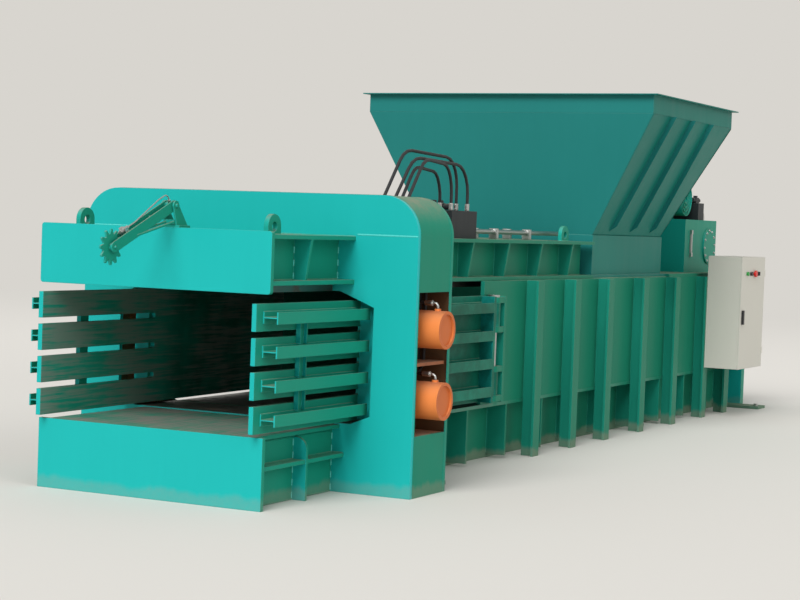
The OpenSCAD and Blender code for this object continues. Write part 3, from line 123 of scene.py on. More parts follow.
def maths(tree, operation, a, b=0.0, clamp=False):
    """The output of one Math node."""
    return add(tree, "Math", {"operation": operation, "use_clamp": clamp}, {0: a, 1: b}).outputs[0]


def product(tree, first, *others):
    """All the values multiplied."""
    for value in others:
        first = maths(tree, "MULTIPLY", first, value)
    return first


def smooth(tree, value, low, high):
    """Rises softly from 0 to 1 as value goes from low to high."""
    ramp = add(tree, "MapRange", {"interpolation_type": "SMOOTHSTEP"},
               {"Value": value, "From Min": low, "From Max": high, "To Min": 0.0, "To Max": 1.0})
    return ramp.outputs["Result"]


def mix(tree, factor, a, b):
    """Blends two colours by factor."""
    node = add(tree, "Mix", {"data_type": "RGBA"}, {"Factor": factor, "A": a, "B": b})
    return node.outputs["Result"]


def noise(tree, place, scale, detail=3.0, roughness=0.55):
    """Noise of the given scale in turns per metre."""
    node = add(tree, "TexNoise", None,
               {"Vector": place, "Scale": scale, "Detail": detail, "Roughness": roughness})
    return node.outputs["Fac"]


def object_place(tree):
    """Where a point lies in its piece's own frame."""
    return add(tree, "TexCoord").outputs["Object"]


def stretched(tree, place, factors):
    """A place stretched along each axis."""
    return add(tree, "VectorMath", {"operation": "MULTIPLY"}, {0: place, 1: factors}).outputs[0]


def part_of(tree, vector, axis):
    """The X, Y or Z of a vector."""
    return add(tree, "SeparateXYZ", None, {0: vector}).outputs[axis]


def facing(tree, axis):
    """How squarely a face looks along an axis of its piece's own frame, from -1 to 1."""
    return part_of(tree, add(tree, "TexCoord").outputs["Normal"], axis)


def bumped(tree, height, strength, distance, normal):
    """Normal of a small relief laid over another normal."""
    return add(tree, "Bump", None, {
        "Height": height, "Strength": strength, "Distance": distance, "Normal": normal}).outputs["Normal"]


# Shared effects as shader groups

# What a group's colour socket holds until it is given a colour
MID_GREY = (0.5, 0.5, 0.5, 1.0)


def new_group(name, inputs, outputs):
    """A shader group with named sockets; each input is a name, a socket kind and a default."""
    tree = bpy.data.node_groups.new(name, "ShaderNodeTree")
    for label, kind, value in inputs:
        socket = tree.interface.new_socket(name=label, in_out="INPUT", socket_type="NodeSocket" + kind)
        socket.default_value = value
    for label, kind in outputs:
        tree.interface.new_socket(name=label, in_out="OUTPUT", socket_type="NodeSocket" + kind)
    return tree, tree.nodes.new("NodeGroupInput").outputs, tree.nodes.new("NodeGroupOutput").inputs


def use_group(tree, group, sockets):
    """Places a shader group with its values and returns its outputs."""
    return add(tree, "Group", {"node_tree": group}, sockets).outputs


def edge_group():
    """Masks of the outer edges: Edge is how far the rounded normal turns from the true one, and Chip is
    Edge broken by noise."""
    tree, given, result = new_group(
        "edge_highlight_and_wear", [("Radius", "Float", 0.006), ("Chips", "Float", 0.5)],
        [("Edge", "Float"), ("Chip", "Float"), ("Normal", "Vector")])
    rounded = add(tree, "Bevel", {"samples": 4}, {"Radius": given["Radius"]}).outputs[0]
    flat = add(tree, "NewGeometry").outputs["Normal"]
    same = add(tree, "VectorMath", {"operation": "DOT_PRODUCT"}, {0: rounded, 1: flat}).outputs["Value"]
    edge = smooth(tree, maths(tree, "SUBTRACT", 1.0, same), low=0.01, high=0.16)
    flecks = noise(tree, object_place(tree), scale=55.0, detail=4.0, roughness=0.7)
    limit = maths(tree, "SUBTRACT", 0.86, product(tree, given["Chips"], 0.34))
    chip = product(tree, smooth(tree, flecks, low=limit, high=0.95), edge)
    feed(tree, result, {"Edge": edge, "Chip": chip, "Normal": rounded})
    return tree


def dust_group():
    """Mask of settled dust: patches on faces that look up, and a splashed zone near the ground."""
    tree, given, result = new_group(
        "settled_dust",
        [("Top", "Float", 0.6), ("Splash height", "Float", 0.07), ("Splash", "Float", 0.5)],
        [("Dust", "Float")])
    place = object_place(tree)
    upward = part_of(tree, add(tree, "NewGeometry").outputs["Normal"], "Z")
    patches = noise(tree, place, scale=2.6, detail=7.0, roughness=0.66)
    grit = noise(tree, place, scale=38.0, detail=4.0, roughness=0.7)
    cover = smooth(tree, maths(tree, "ADD", patches, product(tree, grit, 0.5)), low=0.42, high=1.08)
    top = product(tree, smooth(tree, upward, low=0.25, high=0.9), cover, given["Top"])
    wave = noise(tree, stretched(tree, place, (1.0, 1.0, 0.25)), scale=4.5, detail=5.0, roughness=0.6)
    shore = product(tree, wave, 2.0, given["Splash height"])
    above = smooth(tree, maths(tree, "SUBTRACT", part_of(tree, place, "Z"), shore), low=-0.03, high=0.015)
    wetted = product(tree, maths(tree, "SUBTRACT", 1.0, above), given["Splash"])
    spots = maths(tree, "ADD", product(tree, grit, 0.7), 0.45)
    splash = maths(tree, "MULTIPLY", wetted, spots, clamp=True)
    feed(tree, result, {"Dust": maths(tree, "MAXIMUM", top, splash)})
    return tree


def film_group():
    """Sprayed paint film: broad fading, faint runs down the wall, and a fine ripple."""
    tree, given, result = new_group(
        "paint_film", [("Colour", "Color", MID_GREY), ("Fade", "Float", 0.5), ("Gloss", "Float", 0.4)],
        [("Colour", "Color"), ("Roughness", "Float"), ("Height", "Float")])
    place = object_place(tree)
    broad = noise(tree, place, scale=1.1, detail=3.0, roughness=0.5)
    runs = noise(tree, stretched(tree, place, (9.0, 9.0, 0.7)), scale=1.6, detail=4.0, roughness=0.6)
    shade = maths(tree, "ADD", product(tree, broad, 0.6), product(tree, runs, 0.4))
    value = maths(tree, "ADD", 1.0, product(tree, maths(tree, "SUBTRACT", shade, 0.5), given["Fade"]))
    faded = add(tree, "HueSaturation", None, {
        "Hue": 0.5, "Saturation": 1.0, "Value": value, "Fac": 1.0, "Color": given["Colour"]}).outputs[0]
    rough = maths(tree, "ADD", given["Gloss"], product(tree, maths(tree, "SUBTRACT", runs, 0.5), 0.22))
    ripple = noise(tree, place, scale=210.0, detail=1.0, roughness=0.5)
    speckle = noise(tree, place, scale=120.0, detail=2.0, roughness=0.6)
    height = maths(tree, "ADD", product(tree, ripple, 0.6), product(tree, speckle, 0.4))
    feed(tree, result, {"Colour": faded, "Roughness": rough, "Height": height})
    return tree


def facing_light_group():
    """Painted light and shade: one colour on faces that look along the machine, another on the others, as
    lit and shaded tones of one paint.
    """
    tree, given, result = new_group(
        "painted_light_by_facing", [("Along", "Color", MID_GREY), ("Across", "Color", MID_GREY)],
        [("Colour", "Color")])
    along = smooth(tree, maths(tree, "ABSOLUTE", facing(tree, "Y")), low=0.25, high=0.8)
    feed(tree, result, {"Colour": mix(tree, along, given["Across"], given["Along"])})
    return tree


# Heights between which the mask of the rubbed floor plate comes in
FLOOR_PLATE_Z = (0.404, 0.41)


def rubbed_group():
    """Masks of paint rubbed off by what slides through: on the floor plate, and on walls that face the
    middle of the machine."""
    tree, _, result = new_group("rubbed_bare", [], [("Floor", "Float"), ("Wall", "Float")])
    place = object_place(tree)
    drawn = stretched(tree, place, (20.0, 0.7, 20.0))
    streaks = noise(tree, drawn, scale=3.0, detail=5.0, roughness=0.65)
    broad = noise(tree, place, scale=1.3, detail=4.0, roughness=0.6)
    worn = smooth(tree, maths(tree, "ADD", streaks, product(tree, broad, 0.9)), low=0.82, high=1.08)
    on_floor = smooth(tree, part_of(tree, place, "Z"), *FLOOR_PLATE_Z)
    up = product(tree, smooth(tree, facing(tree, "Z"), low=0.9, high=0.99), on_floor)
    side = maths(tree, "SIGN", part_of(tree, place, "X"))
    inward = product(tree, facing(tree, "X"), side, -1.0)
    wall = product(tree, smooth(tree, inward, low=0.9, high=0.99), 0.6)
    feed(tree, result, {"Floor": product(tree, worn, up), "Wall": product(tree, worn, wall)})
    return tree


RUBBED = rubbed_group()
FACING_LIGHT = facing_light_group()
EDGE = edge_group()
DUSTY = dust_group()
FILM = film_group()

# Materials


def new_material(name):
    """An empty node material with its tree and its Principled shader."""
    material = bpy.data.materials.new(name)
    material.use_nodes = True
    tree = material.node_tree
    return material, tree, tree.nodes["Principled BSDF"]


ENAMEL_SPECULAR = 0.12
ENAMEL_EDGE = 0.006
# How far behind the portal's front face the painted shade on the gates sets in
SHADE_FROM, SHADE_FULL = 0.2, 0.48


def shaded_behind_portal(tree, tone):
    """Painted shade: darkens a colour in patches, from inside the portal on."""
    place = object_place(tree)
    behind = smooth(tree, part_of(tree, place, "Y"), low=FRONT + SHADE_FROM, high=FRONT + SHADE_FULL)
    patches = smooth(tree, noise(tree, place, scale=3.5, detail=6.0, roughness=0.65), low=0.1, high=0.7)
    return mix(tree, product(tree, patches, 0.85, behind), tone, linear(BEHIND_PORTAL_SHADE))


def painted(name, colour, along=None, gloss=0.42, fade=0.16, top=0.55, splash=0.5, chips=0.5,
            edge_highlight=0.35, bare=PRIMER_BROWN, rubbed=None, primed_side=0.0, shade_behind=False):
    """Sprayed enamel: faded film, paler edges as a painted highlight, chips down to the undercoat, dust
    and ground splash.

    The colour along, where given, shows on faces that look along the machine and the colour on the
    others, as lit and
    shaded tones of one paint: painted light and shade. Rubbed names a mask of bare steel. A primed_side
    of 1 or -1 leaves the faces that look to +Y or -Y in primer, darkened as painted shade. The last flag
    darkens what is behind the portal in patches, as painted shade."""
    material, tree, shader = new_material(name)
    tone = linear(colour)
    # Painted light and shade: the along colour on faces that look along the machine
    if along is not None:
        tone = use_group(tree, FACING_LIGHT, {"Along": linear(along), "Across": tone})["Colour"]
    # Painted shade, in patches, on what is behind the portal
    if shade_behind:
        tone = shaded_behind_portal(tree, tone)
    film = use_group(tree, FILM, {"Colour": tone, "Fade": fade, "Gloss": gloss})
    edge = use_group(tree, EDGE, {"Radius": ENAMEL_EDGE, "Chips": chips})
    dust = use_group(tree, DUSTY, {"Top": top, "Splash": splash})["Dust"]
    # Paler edges: a painted highlight along the plate edges
    pale = toned(colour, share=0.72, lift=78)
    coat = mix(tree, product(tree, edge["Edge"], edge_highlight), film["Colour"], pale)
    # Faces inside the portal box in primer, darkened as painted shade
    if primed_side:
        inner = smooth(tree, product(tree, facing(tree, "Y"), primed_side), low=0.8, high=0.95)
        coat = mix(tree, inner, coat, linear(PRIMER_SHADE))
    chipped = mix(tree, edge["Chip"], coat, linear(bare))
    shown = mix(tree, dust, chipped, linear(DUST))
    if rubbed is not None:
        mask = use_group(tree, RUBBED, {})[rubbed]
        shown = mix(tree, mask, shown, linear(RUBBED_STEEL))
        feed(tree, shader.inputs, {"Metallic": product(tree, mask, 0.3)})
    feed(tree, shader.inputs, {
        "Base Color": shown, "Specular IOR Level": ENAMEL_SPECULAR,
        "Roughness": maths(tree, "ADD", film["Roughness"], product(tree, dust, 0.4), clamp=True),
        "Normal": bumped(tree, film["Height"], strength=0.12, distance=0.0006, normal=edge["Normal"])})
    return material


def primed(name, colour):
    """Matt primer with dust and stains where the oil runs."""
    material, tree, shader = new_material(name)
    place = object_place(tree)
    oil = noise(tree, stretched(tree, place, (6.0, 6.0, 1.2)), scale=1.5, detail=5.0, roughness=0.65)
    stain = product(tree, smooth(tree, oil, low=0.45, high=0.8), 0.6)
    edge = use_group(tree, EDGE, {"Radius": 0.005, "Chips": 0.4})
    dust = use_group(tree, DUSTY, {"Top": 0.7, "Splash": 0.3})["Dust"]
    stained = mix(tree, stain, linear(colour), toned(colour, share=0.6))
    worn = mix(tree, edge["Chip"], stained, linear(WORN_PLATE))
    grain = noise(tree, place, scale=160.0, detail=2.0)
    feed(tree, shader.inputs, {
        "Base Color": mix(tree, dust, worn, linear(DUST)), "Roughness": 0.78,
        "Normal": bumped(tree, grain, strength=0.2, distance=0.0006, normal=edge["Normal"])})
    return material


def polished(name, colour, roughness, grain, round_over=0.002):
    """Turned or drawn metal with fine lines, whose edges look rounded over the given radius."""
    material, tree, shader = new_material(name)
    place = object_place(tree)
    lines = noise(tree, stretched(tree, place, (grain,) * 3), scale=40.0, detail=3.0, roughness=0.6)
    smear = noise(tree, place, scale=9.0, detail=4.0, roughness=0.6)
    edge = use_group(tree, EDGE, {"Radius": round_over, "Chips": 0.0})
    feed(tree, shader.inputs, {
        "Base Color": mix(tree, product(tree, smear, 0.35), linear(colour), toned(colour, share=0.78)),
        "Metallic": 1.0,
        "Roughness": maths(tree, "ADD", roughness, product(tree, lines, 0.12), clamp=True),
        "Normal": bumped(tree, lines, strength=0.08, distance=0.0004, normal=edge["Normal"])})
    return material


def scoured(name, colour, edges=None):
    """Wear plate rubbed bright along the machine, with rust left in the low spots.

    The colour edges, where given, is the paint left on everything but the upper face."""
    material, tree, shader = new_material(name)
    place = object_place(tree)
    drawn = stretched(tree, place, (26.0, 0.8, 26.0))
    scratches = noise(tree, drawn, scale=3.0, detail=5.0, roughness=0.7)
    rust = smooth(tree, noise(tree, place, scale=4.0, detail=6.0, roughness=0.65), low=0.52, high=0.72)
    edge = use_group(tree, EDGE, {"Radius": 0.004, "Chips": 0.0})
    bare = mix(tree, scratches, toned(colour, share=0.8), linear(colour))
    shown = mix(tree, product(tree, rust, 0.6), bare, linear(RUST))
    metal = maths(tree, "SUBTRACT", 0.85, product(tree, rust, 0.75))
    if edges is not None:
        bared = smooth(tree, facing(tree, "Z"), low=0.6, high=0.9)
        shown = mix(tree, bared, linear(edges), shown)
        metal = product(tree, metal, bared)
    feed(tree, shader.inputs, {
        "Base Color": shown, "Metallic": metal,
        "Roughness": maths(tree, "ADD", 0.38, product(tree, rust, 0.4)),
        "Normal": bumped(tree, scratches, strength=0.15, distance=0.0008, normal=edge["Normal"])})
    return material


def moulded(name, colour, gloss, round_over=0.0015):
    """Plastic or rubber with a fine skin and handling marks."""
    material, tree, shader = new_material(name)
    place = object_place(tree)
    skin = noise(tree, place, scale=300.0, detail=2.0, roughness=0.6)
    marks = noise(tree, place, scale=14.0, detail=4.0, roughness=0.6)
    edge = use_group(tree, EDGE, {"Radius": round_over, "Chips": 0.0})
    pale = toned(colour, share=1, lift=22)
    feed(tree, shader.inputs, {
        "Base Color": mix(tree, product(tree, marks, 0.4), linear(colour), pale),
        "Roughness": maths(tree, "ADD", gloss, product(tree, marks, 0.15)),
        "Normal": bumped(tree, skin, strength=0.15, distance=0.0003, normal=edge["Normal"])})
    return material


# Where a painted finish has two colours, they are tones of one paint by which way a face looks: painted
# light and shade. The gate finishes also darken what is behind the portal as painted shade.
FINISH = {
    "front": painted("front_enamel", SIDE_GREEN, FRONT_GREEN, top=0.6, splash=0.25),
    "side": painted("side_enamel", SIDE_GREEN, SIDE_AHEAD, top=0.7),
    "portal_front": painted("portal_front_enamel", EDGE_TEAL, FRONT_GREEN, top=0.6, splash=0.25,
                            primed_side=1.0),
    "portal_rear": painted("portal_rear_enamel", SIDE_GREEN, FRONT_GREEN, top=0.6, splash=0.4,
                           primed_side=-1.0),
    "band": painted("band_enamel", BAND_GREEN, FRONT_GREEN, top=0.8, splash=0.4),
    "gate": painted("gate_enamel", SIDE_GREEN, FRONT_GREEN, top=0.6, rubbed="Wall", shade_behind=True),
    "gate_frame": painted("gate_frame_enamel", SIDE_GREEN, FRONT_GREEN, top=0.7, shade_behind=True),
    "sill": painted("sill_enamel", SIDE_GREEN, FRONT_GREEN, top=0.45, splash=0.35, rubbed="Floor"),
    "channel": painted("channel_enamel", CHANNEL_GREEN, CHANNEL_AHEAD, top=0.8, fade=0.25),
    "hopper": painted("hopper_enamel", HOPPER_GREEN, HOPPER_AHEAD, top=0.4, fade=0.2),
    "seam": painted("seam_enamel", SEAM_ACROSS, SEAM_ALONG, top=0.2, splash=0.3, chips=0.2),
    "primer": primed("brown_primer", PRIMER_BROWN),
    "orange": painted("cylinder_enamel", CYLINDER_ORANGE, ORANGE_ALONG, gloss=0.36, fade=0.22, top=0.3,
                      splash=0.0, edge_highlight=0.25, bare=WORN_PLATE),
    "chrome": polished("rod_chrome", ROD_CHROME, roughness=0.08, grain=14.0),
    "zinc": polished("zinc_plate", ZINC, roughness=0.28, grain=9.0),
    "pipe": polished("pipe_zinc", ZINC, roughness=0.28, grain=9.0, round_over=0.012),
    "wear": scoured("wear_plate", WORN_PLATE),
    "floor_plate": scoured("floor_wear_plate", WORN_PLATE, CHANNEL_GREEN),
    "rubber": moulded("hose_rubber", HOSE_BLACK, gloss=0.5, round_over=0.009),
    "pump": painted("pump_enamel", PUMP_DARK, gloss=0.4, fade=0.1, top=0.3, splash=0.0, chips=0.2),
    "cabinet": painted("cabinet_enamel", CABINET_GREY, gloss=0.5, fade=0.05, top=0.35, splash=0.0,
                       chips=0.1, edge_highlight=0.1),
    "green_cap": moulded("start_plastic", SIGNAL_GREEN, gloss=0.25),
    "red_cap": moulded("emergency_plastic", SIGNAL_RED, gloss=0.25),
    "black_cap": moulded("switch_plastic", SWITCH_BLACK, gloss=0.4),
}

NODE_FINISH = {
    "portal_front": ["portal_front_plate"],
    "portal_rear": ["portal_rear_plate"],
    "front": ["exit_header_plate", "exit_sill_plate", "rear_crosshead"],
    "band": ["portal_arch_band", "portal_foot_bands"],
    "gate": ["gate_plate_right", "gate_plate_left"],
    "gate_frame": ["gate_rails_right", "gate_bracing_right", "gate_rails_left", "gate_bracing_left"],
    "sill": ["exit_base"],
    "side": ["exit_top_beam", "lifting_lugs", "counter_bracket", "counter_arm", "star_wheel",
             "pump_motor", "oil_tank"],
    "channel": ["base_beams", "anchor_feet", "channel_top_beam", "side_walls", "side_posts",
                "hinge_posts", "housing_roof", "ram_body"],
    "hopper": ["hopper_collar", "hopper_side_panels", "hopper_end_panels", "hopper_rim"],
    "primer": ["portal_shelves", "portal_cheeks"],
    "orange": ["squeeze_barrels", "main_barrel"],
    "chrome": ["squeeze_rods_right", "squeeze_rods_left", "ram_rod"],
    "zinc": ["gate_pins", "tank_fittings", "counter_sensor"],
    "pipe": ["hydraulic_pipes"],
    "rubber": ["hydraulic_hoses"],
    "floor_plate": ["channel_floor"],
    "wear": ["channel_liners", "fixed_shear_blade", "ram_blade", "ram_shoes", "ram_platen"],
    "pump": ["hydraulic_pump", "valve_block"],
    "cabinet": ["cabinet_body", "cabinet_door"],
    "green_cap": ["start_button"],
    "red_cap": ["emergency_button"],
    "black_cap": ["stop_button", "door_handle", "mode_switch"],
}


def dress_nodes():
    """Gives every CAD node its finish."""
    for finish, names in NODE_FINISH.items():
        for name in names:
            mesh = NODES[name].data
            mesh.materials.clear()
            mesh.materials.append(FINISH[finish])


# Geometry of the pieces

X, Y, Z = np.eye(3)
# The right side of the machine, and the left one as its mirror image
SIDES = (("right", 1), ("left", -1))


def box(name):
    """Lowest and highest corner of a CAD node."""
    low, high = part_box(name)
    return np.array(low), np.array(high)


def new_piece(name, points, faces, finish, body):
    """A piece in the shared frame that rides on a body."""
    mesh = bpy.data.meshes.new(name)
    mesh.from_pydata(np.asarray(points).tolist(), [], np.asarray(faces).tolist())
    mesh.update()
    mesh.materials.append(FINISH[finish])
    piece = bpy.data.objects.new(name, mesh)
    bpy.context.collection.objects.link(piece)
    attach(piece, body)
    return piece


def joined(parts):
    """One list of points and one of faces from several pairs."""
    points, faces, start = [], [], 0
    for some_points, some_faces in parts:
        points.append(some_points)
        faces.append(some_faces + start)
        start += len(some_points)
    return np.concatenate(points), np.concatenate(faces)


# Weld beads. A run is a path, the way across it on one plate and the way up the other plate.

BEAD = 0.007
THIN_BEAD = 0.005
THICK_BEAD = 0.009
BEAD_STEP = 0.006
BEAD_ARC = 5
BEAD_SINK = 0.0015
BEAD_RIPPLE = 0.22
BEAD_JITTER = 0.05
BEAD_WAVE, BEAD_WAVE_MEAN = 2.6, 0.6
BEAD_TAPER, BEAD_TIP = 1.5, 0.35
BEAD_PAST = 0.12
BEAD_FLATTENED = 0.16
BUTT_LIFT = 0.35
DASH, DASH_GAP = 0.045, 0.03


def bead(path, across, lift, size, seed):
    """A weld bead along a path: ring point = p + s(t) b(f) (across cos f + lift sin f) for f from 0 to 90
    degrees, where s(t) = size (1 + 0.22 ripple + noise) and b(f) = 1 - 0.16 sin 2f.

    The ends taper, and the foot is sunk a little into both plates."""
    path = np.asarray(path, float)
    across, lift = (np.broadcast_to(np.asarray(v, float), path.shape) for v in (across, lift))
    leg = np.linalg.norm(np.diff(path, axis=0), axis=1)
    along = np.concatenate([[0.0], np.cumsum(leg)])
    count = max(4, int(along[-1] / BEAD_STEP))
    t = np.linspace(0.0, along[-1], count)
    middle, flat, up = (np.stack([np.interp(t, along, v[:, k]) for k in range(3)], 1)
                        for v in (path, across, lift))
    rng = np.random.default_rng(seed)
    ripple = np.abs(np.sin(t * math.pi / (BEAD_WAVE * BEAD_STEP))) - BEAD_WAVE_MEAN
    taper = np.clip(np.minimum(t, along[-1] - t) / (BEAD_TAPER * size) + BEAD_TIP, 0.0, 1.0)
    scale = size * taper * (1.0 + BEAD_RIPPLE * ripple + rng.normal(0.0, BEAD_JITTER, count))
    f = np.linspace(-BEAD_PAST, math.pi / 2 + BEAD_PAST, BEAD_ARC)[None, :, None]
    reach = scale[:, None, None] * (1.0 - BEAD_FLATTENED * np.sin(2 * f).clip(0))
    foot = middle - BEAD_SINK * (flat + up)
    points = foot[:, None, :] + reach * (flat[:, None, :] * np.cos(f) + up[:, None, :] * np.sin(f))
    grid = np.arange(count * BEAD_ARC).reshape(count, BEAD_ARC)
    faces = np.stack([grid[:-1, :-1], grid[1:, :-1], grid[1:, 1:], grid[:-1, 1:]], -1).reshape(-1, 4)
    turned = np.cross(flat[0], up[0]) @ (middle[1] - middle[0])
    return points.reshape(-1, 3), faces if turned > 0 else faces[:, ::-1]


def mirrored(points):
    """The same places on the other side of the machine."""
    return np.asarray(points) * (-1, 1, 1)


def both_sides(runs):
    """Runs on the right side and their mirror images."""
    return runs + [(mirrored(path), mirrored(a), mirrored(b)) for path, a, b in runs]


def make_beads(name, runs, finish, body, size=BEAD, place=None):
    """One piece of weld beads from all its runs."""
    points, faces = joined([bead(path, a, b, size, seed) for seed, (path, a, b) in enumerate(runs)])
    if place is not None:
        matrix = np.array(place)
        points = points @ matrix[:3, :3].T + matrix[:3, 3]
    return new_piece(name, points, faces, finish, body)


def line(x, y, z):
    """A straight path; one of the three is a pair, the others are numbers."""
    ends = np.zeros((2, 3))
    for k, value in enumerate((x, y, z)):
        ends[:, k] = value
    return ends


def stitched(run):
    """A run cut into dashes."""
    path, across, lift = run
    start, end = path[0], path[-1]
    length = np.linalg.norm(end - start)
    count = max(1, int((length + DASH_GAP) / (DASH + DASH_GAP)))
    begin = np.arange(count) * (DASH + DASH_GAP) / length
    return [(start + (end - start) * np.array([[b], [min(1.0, b + DASH / length)]]), across, lift)
            for b in begin]


def flat_seam(path, along_face, out):
    """A butt weld between two plates in one plane: two low halves, back to back."""
    return [(path, along_face, out * BUTT_LIFT), (path, -along_face, out * BUTT_LIFT)]


# The webs of the long beams, their flanges' thickness and half a rib's
WEB_FACE = 0.66
LOWER_FLANGE, UPPER_FLANGE = 0.026, 0.024
RIB_HALF = 0.01


def web_corners(x, y, z):
    """Corners between a web at x and the flanges at z[0] and z[1] over the length y."""
    return [(line(x, y, z[0]), X, Z), (line(x, y, z[1]), X, -Z)]


def web_uprights(x, ribs, z):
    """Both sides of the ribs that stand on a web at x."""
    return [(line(x, rib + side * RIB_HALF, z), X, side * Y) for rib in ribs for side in (-1, 1)]


def beam_web(name):
    """Heights between which the web of a top beam stands free."""
    low, high = box(name)
    return low[2] + LOWER_FLANGE, high[2] - UPPER_FLANGE


PORTAL_CORNER = 0.24
ARCH_STEPS = 14
ARCH_FOOT = 0.02


def arch_path(half, top, radius, y):
    """Right half of the portal's outline: up the side, round the corner, in to the middle."""
    turn = np.linspace(0.0, math.pi / 2, ARCH_STEPS)
    x = np.concatenate([[half], half - radius + radius * np.cos(turn), [0.0]])
    z = np.concatenate([[ARCH_FOOT], top - radius + radius * np.sin(turn), [top]])
    out = np.concatenate([[X], np.stack([np.cos(turn), 0 * turn, np.sin(turn)], 1), [Z]])
    return np.stack([x, np.full_like(x, y), z], 1), out


def portal_welds():
    """Seams where the band meets the front and rear plates."""
    high = box("portal_front_plate")[1]
    rear = box("portal_rear_plate")[0]
    runs = []
    for y, side in ((high[1], 1.0), (rear[1], -1.0)):
        path, out = arch_path(high[0], high[2], PORTAL_CORNER, y)
        runs += flat_seam(path, Y * side, out)
    return both_sides(runs)


EXIT_TOP_RIB, EXIT_SILL_RIB = FRONT - 0.52, FRONT - 0.455
SILL_WEBS = ((0.005, 0.217), (0.241, 0.37))
SHELF_INSET = 0.01
PLATE_JOINT_RISE = 0.012
PLATE_JOINT_INSETS = (0.01, 0.004)


def exit_welds():
    """Seams of the top beam and the base in front of the portal, and of the header and sill plates."""
    beam, base = box("exit_top_beam"), box("exit_base")
    header = box("exit_header_plate")
    y = (beam[0][1], FRONT)
    runs = web_corners(WEB_FACE, y, beam_web("exit_top_beam"))
    for z in SILL_WEBS:
        runs += web_corners(WEB_FACE, y, z)
    edge = beam[1][0]
    for z, lift in ((beam[1][2], Z), (beam[0][2], -Z)):
        runs += [(line((0.0, edge), FRONT, z), -Y, lift), (line((0.0, edge), header[1][1], z), Y, lift)]
    runs += [(line((WEB_FACE, base[1][0] - SHELF_INSET), FRONT, z), -Y, lift)
             for z, lift in ((SILL_WEBS[1][0], Z), (SILL_WEBS[0][1], -Z))]
    return both_sides(runs)


def exit_stitches():
    """Pale stitch welds: the ribs and the portal's corner on the exit webs, the front plate's joint."""
    low, high = box("portal_front_plate")
    beam = box("exit_top_beam")[1]
    runs = []
    for rib, z in ((EXIT_TOP_RIB, beam_web("exit_top_beam")), *((EXIT_SILL_RIB, z) for z in SILL_WEBS)):
        for run in web_uprights(WEB_FACE, [rib], z) + [(line(WEB_FACE, FRONT, z), X, -Y)]:
            runs += stitched(run)
    joint = (beam[0] + PLATE_JOINT_INSETS[0], high[0] - PLATE_JOINT_INSETS[1])
    runs += flat_seam(line(joint, low[1], beam[2] + PLATE_JOINT_RISE), Z, -Y)
    return both_sides(runs)


LUG_WIDTH, LUG_THICK = 0.142, 0.03


def lug_welds():
    """Both faces of the four lifting lugs where they stand on the top beam."""
    low, high = box("lifting_lugs")
    outer, inner = high[0], high[0] - LUG_THICK
    runs = []
    for start in (low[1], high[1] - LUG_WIDTH):
        y = (start, start + LUG_WIDTH)
        runs += [(line(outer, y, low[2]), X, Z), (line(inner, y, low[2]), -X, Z),
                 (line((inner, outer), y[0], low[2]), -Y, Z), (line((inner, outer), y[1], low[2]), Y, Z)]
    return both_sides(runs)


CHANNEL_TOP_RIBS = FRONT + 1.1 + 0.6 * np.arange(5)
CHANNEL_SILL_RIBS = FRONT + 0.98 + 0.65 * np.arange(11)
CHANNEL_POSTS = FRONT + np.array([2.58, 3.3, 4.0, 4.8, 5.6, 6.42, 7.06])
SILL_RIB_FOOT = 0.03
POST_FOOT = 0.41


def channel_welds():
    """Seams of the long top beam, base beams, posts, housing roof and hopper collar."""
    beam, posts, sills = box("channel_top_beam"), box("side_posts"), box("base_beams")
    wall, roof, collar = box("side_walls")[1], box("housing_roof"), box("hopper_collar")
    web = beam_web("channel_top_beam")
    runs = web_corners(WEB_FACE, (beam[0][1], beam[1][1]), web)
    runs += web_uprights(WEB_FACE, CHANNEL_TOP_RIBS, web)
    runs += web_uprights(WEB_FACE, CHANNEL_SILL_RIBS, (SILL_RIB_FOOT, sills[1][2]))
    runs += web_uprights(wall[0], CHANNEL_POSTS, (POST_FOOT, posts[1][2]))
    runs += flat_seam(line(wall[0], (roof[0][1], roof[1][1]), wall[2]), Z, X)
    runs += [(line(collar[1][0], (collar[0][1], collar[1][1]), collar[0][2]), X, Z)]
    return both_sides(runs)


def tank_welds():
    """The foot of the oil tank."""
    low, high = box("oil_tank")
    half = -low[0]
    runs = [(line((-half, half), y, low[2]), side * Y, Z) for y, side in ((low[1], -1), (high[1], 1))]
    return runs + both_sides([(line(half, (low[1], high[1]), low[2]), X, Z)])


SHEET = 0.008
COLLAR_HALF = 0.72
RIM_LIP = 0.045
RIM_SINK = 0.002
FEED_OPENING = (FRONT + 4.01, FRONT + 5.59)
PANEL_LEAN = 0.6


def hopper_welds():
    """Seams of the collar and of the sloping panels along their edges and at the rim."""
    collar, ends, rim = (box(name) for name in ("hopper_collar", "hopper_end_panels", "hopper_rim"))
    half_low, half_high = COLLAR_HALF + SHEET, rim[1][0] - RIM_LIP
    lip = RIM_LIP + SHEET
    mouth = (rim[0][1] + lip, rim[1][1] - lip)
    low_z, high_z = collar[1][2], ends[1][2]
    runs = []
    for low_y, high_y, side in zip(FEED_OPENING, mouth, (-1, 1)):
        edge = np.array([[half_low, low_y, low_z + RIM_SINK], [half_high, high_y, high_z - RIM_SINK]])
        runs += [(edge, X, Y * side * PANEL_LEAN), (edge, Y * side, X * PANEL_LEAN)]
        runs += [(line((0.0, half_low), low_y + side * SHEET, low_z), Y * side, Z)]
    runs += [(line(half_low, FEED_OPENING, low_z), X, Z)]
    runs += [(line(half_high, mouth, high_z), X, -Z)]
    return both_sides(runs)


CROSSHEAD_PLATE = 0.09
CROSSHEAD_RIBS = (0.42, 0.7)
RIB_INSET = 0.02


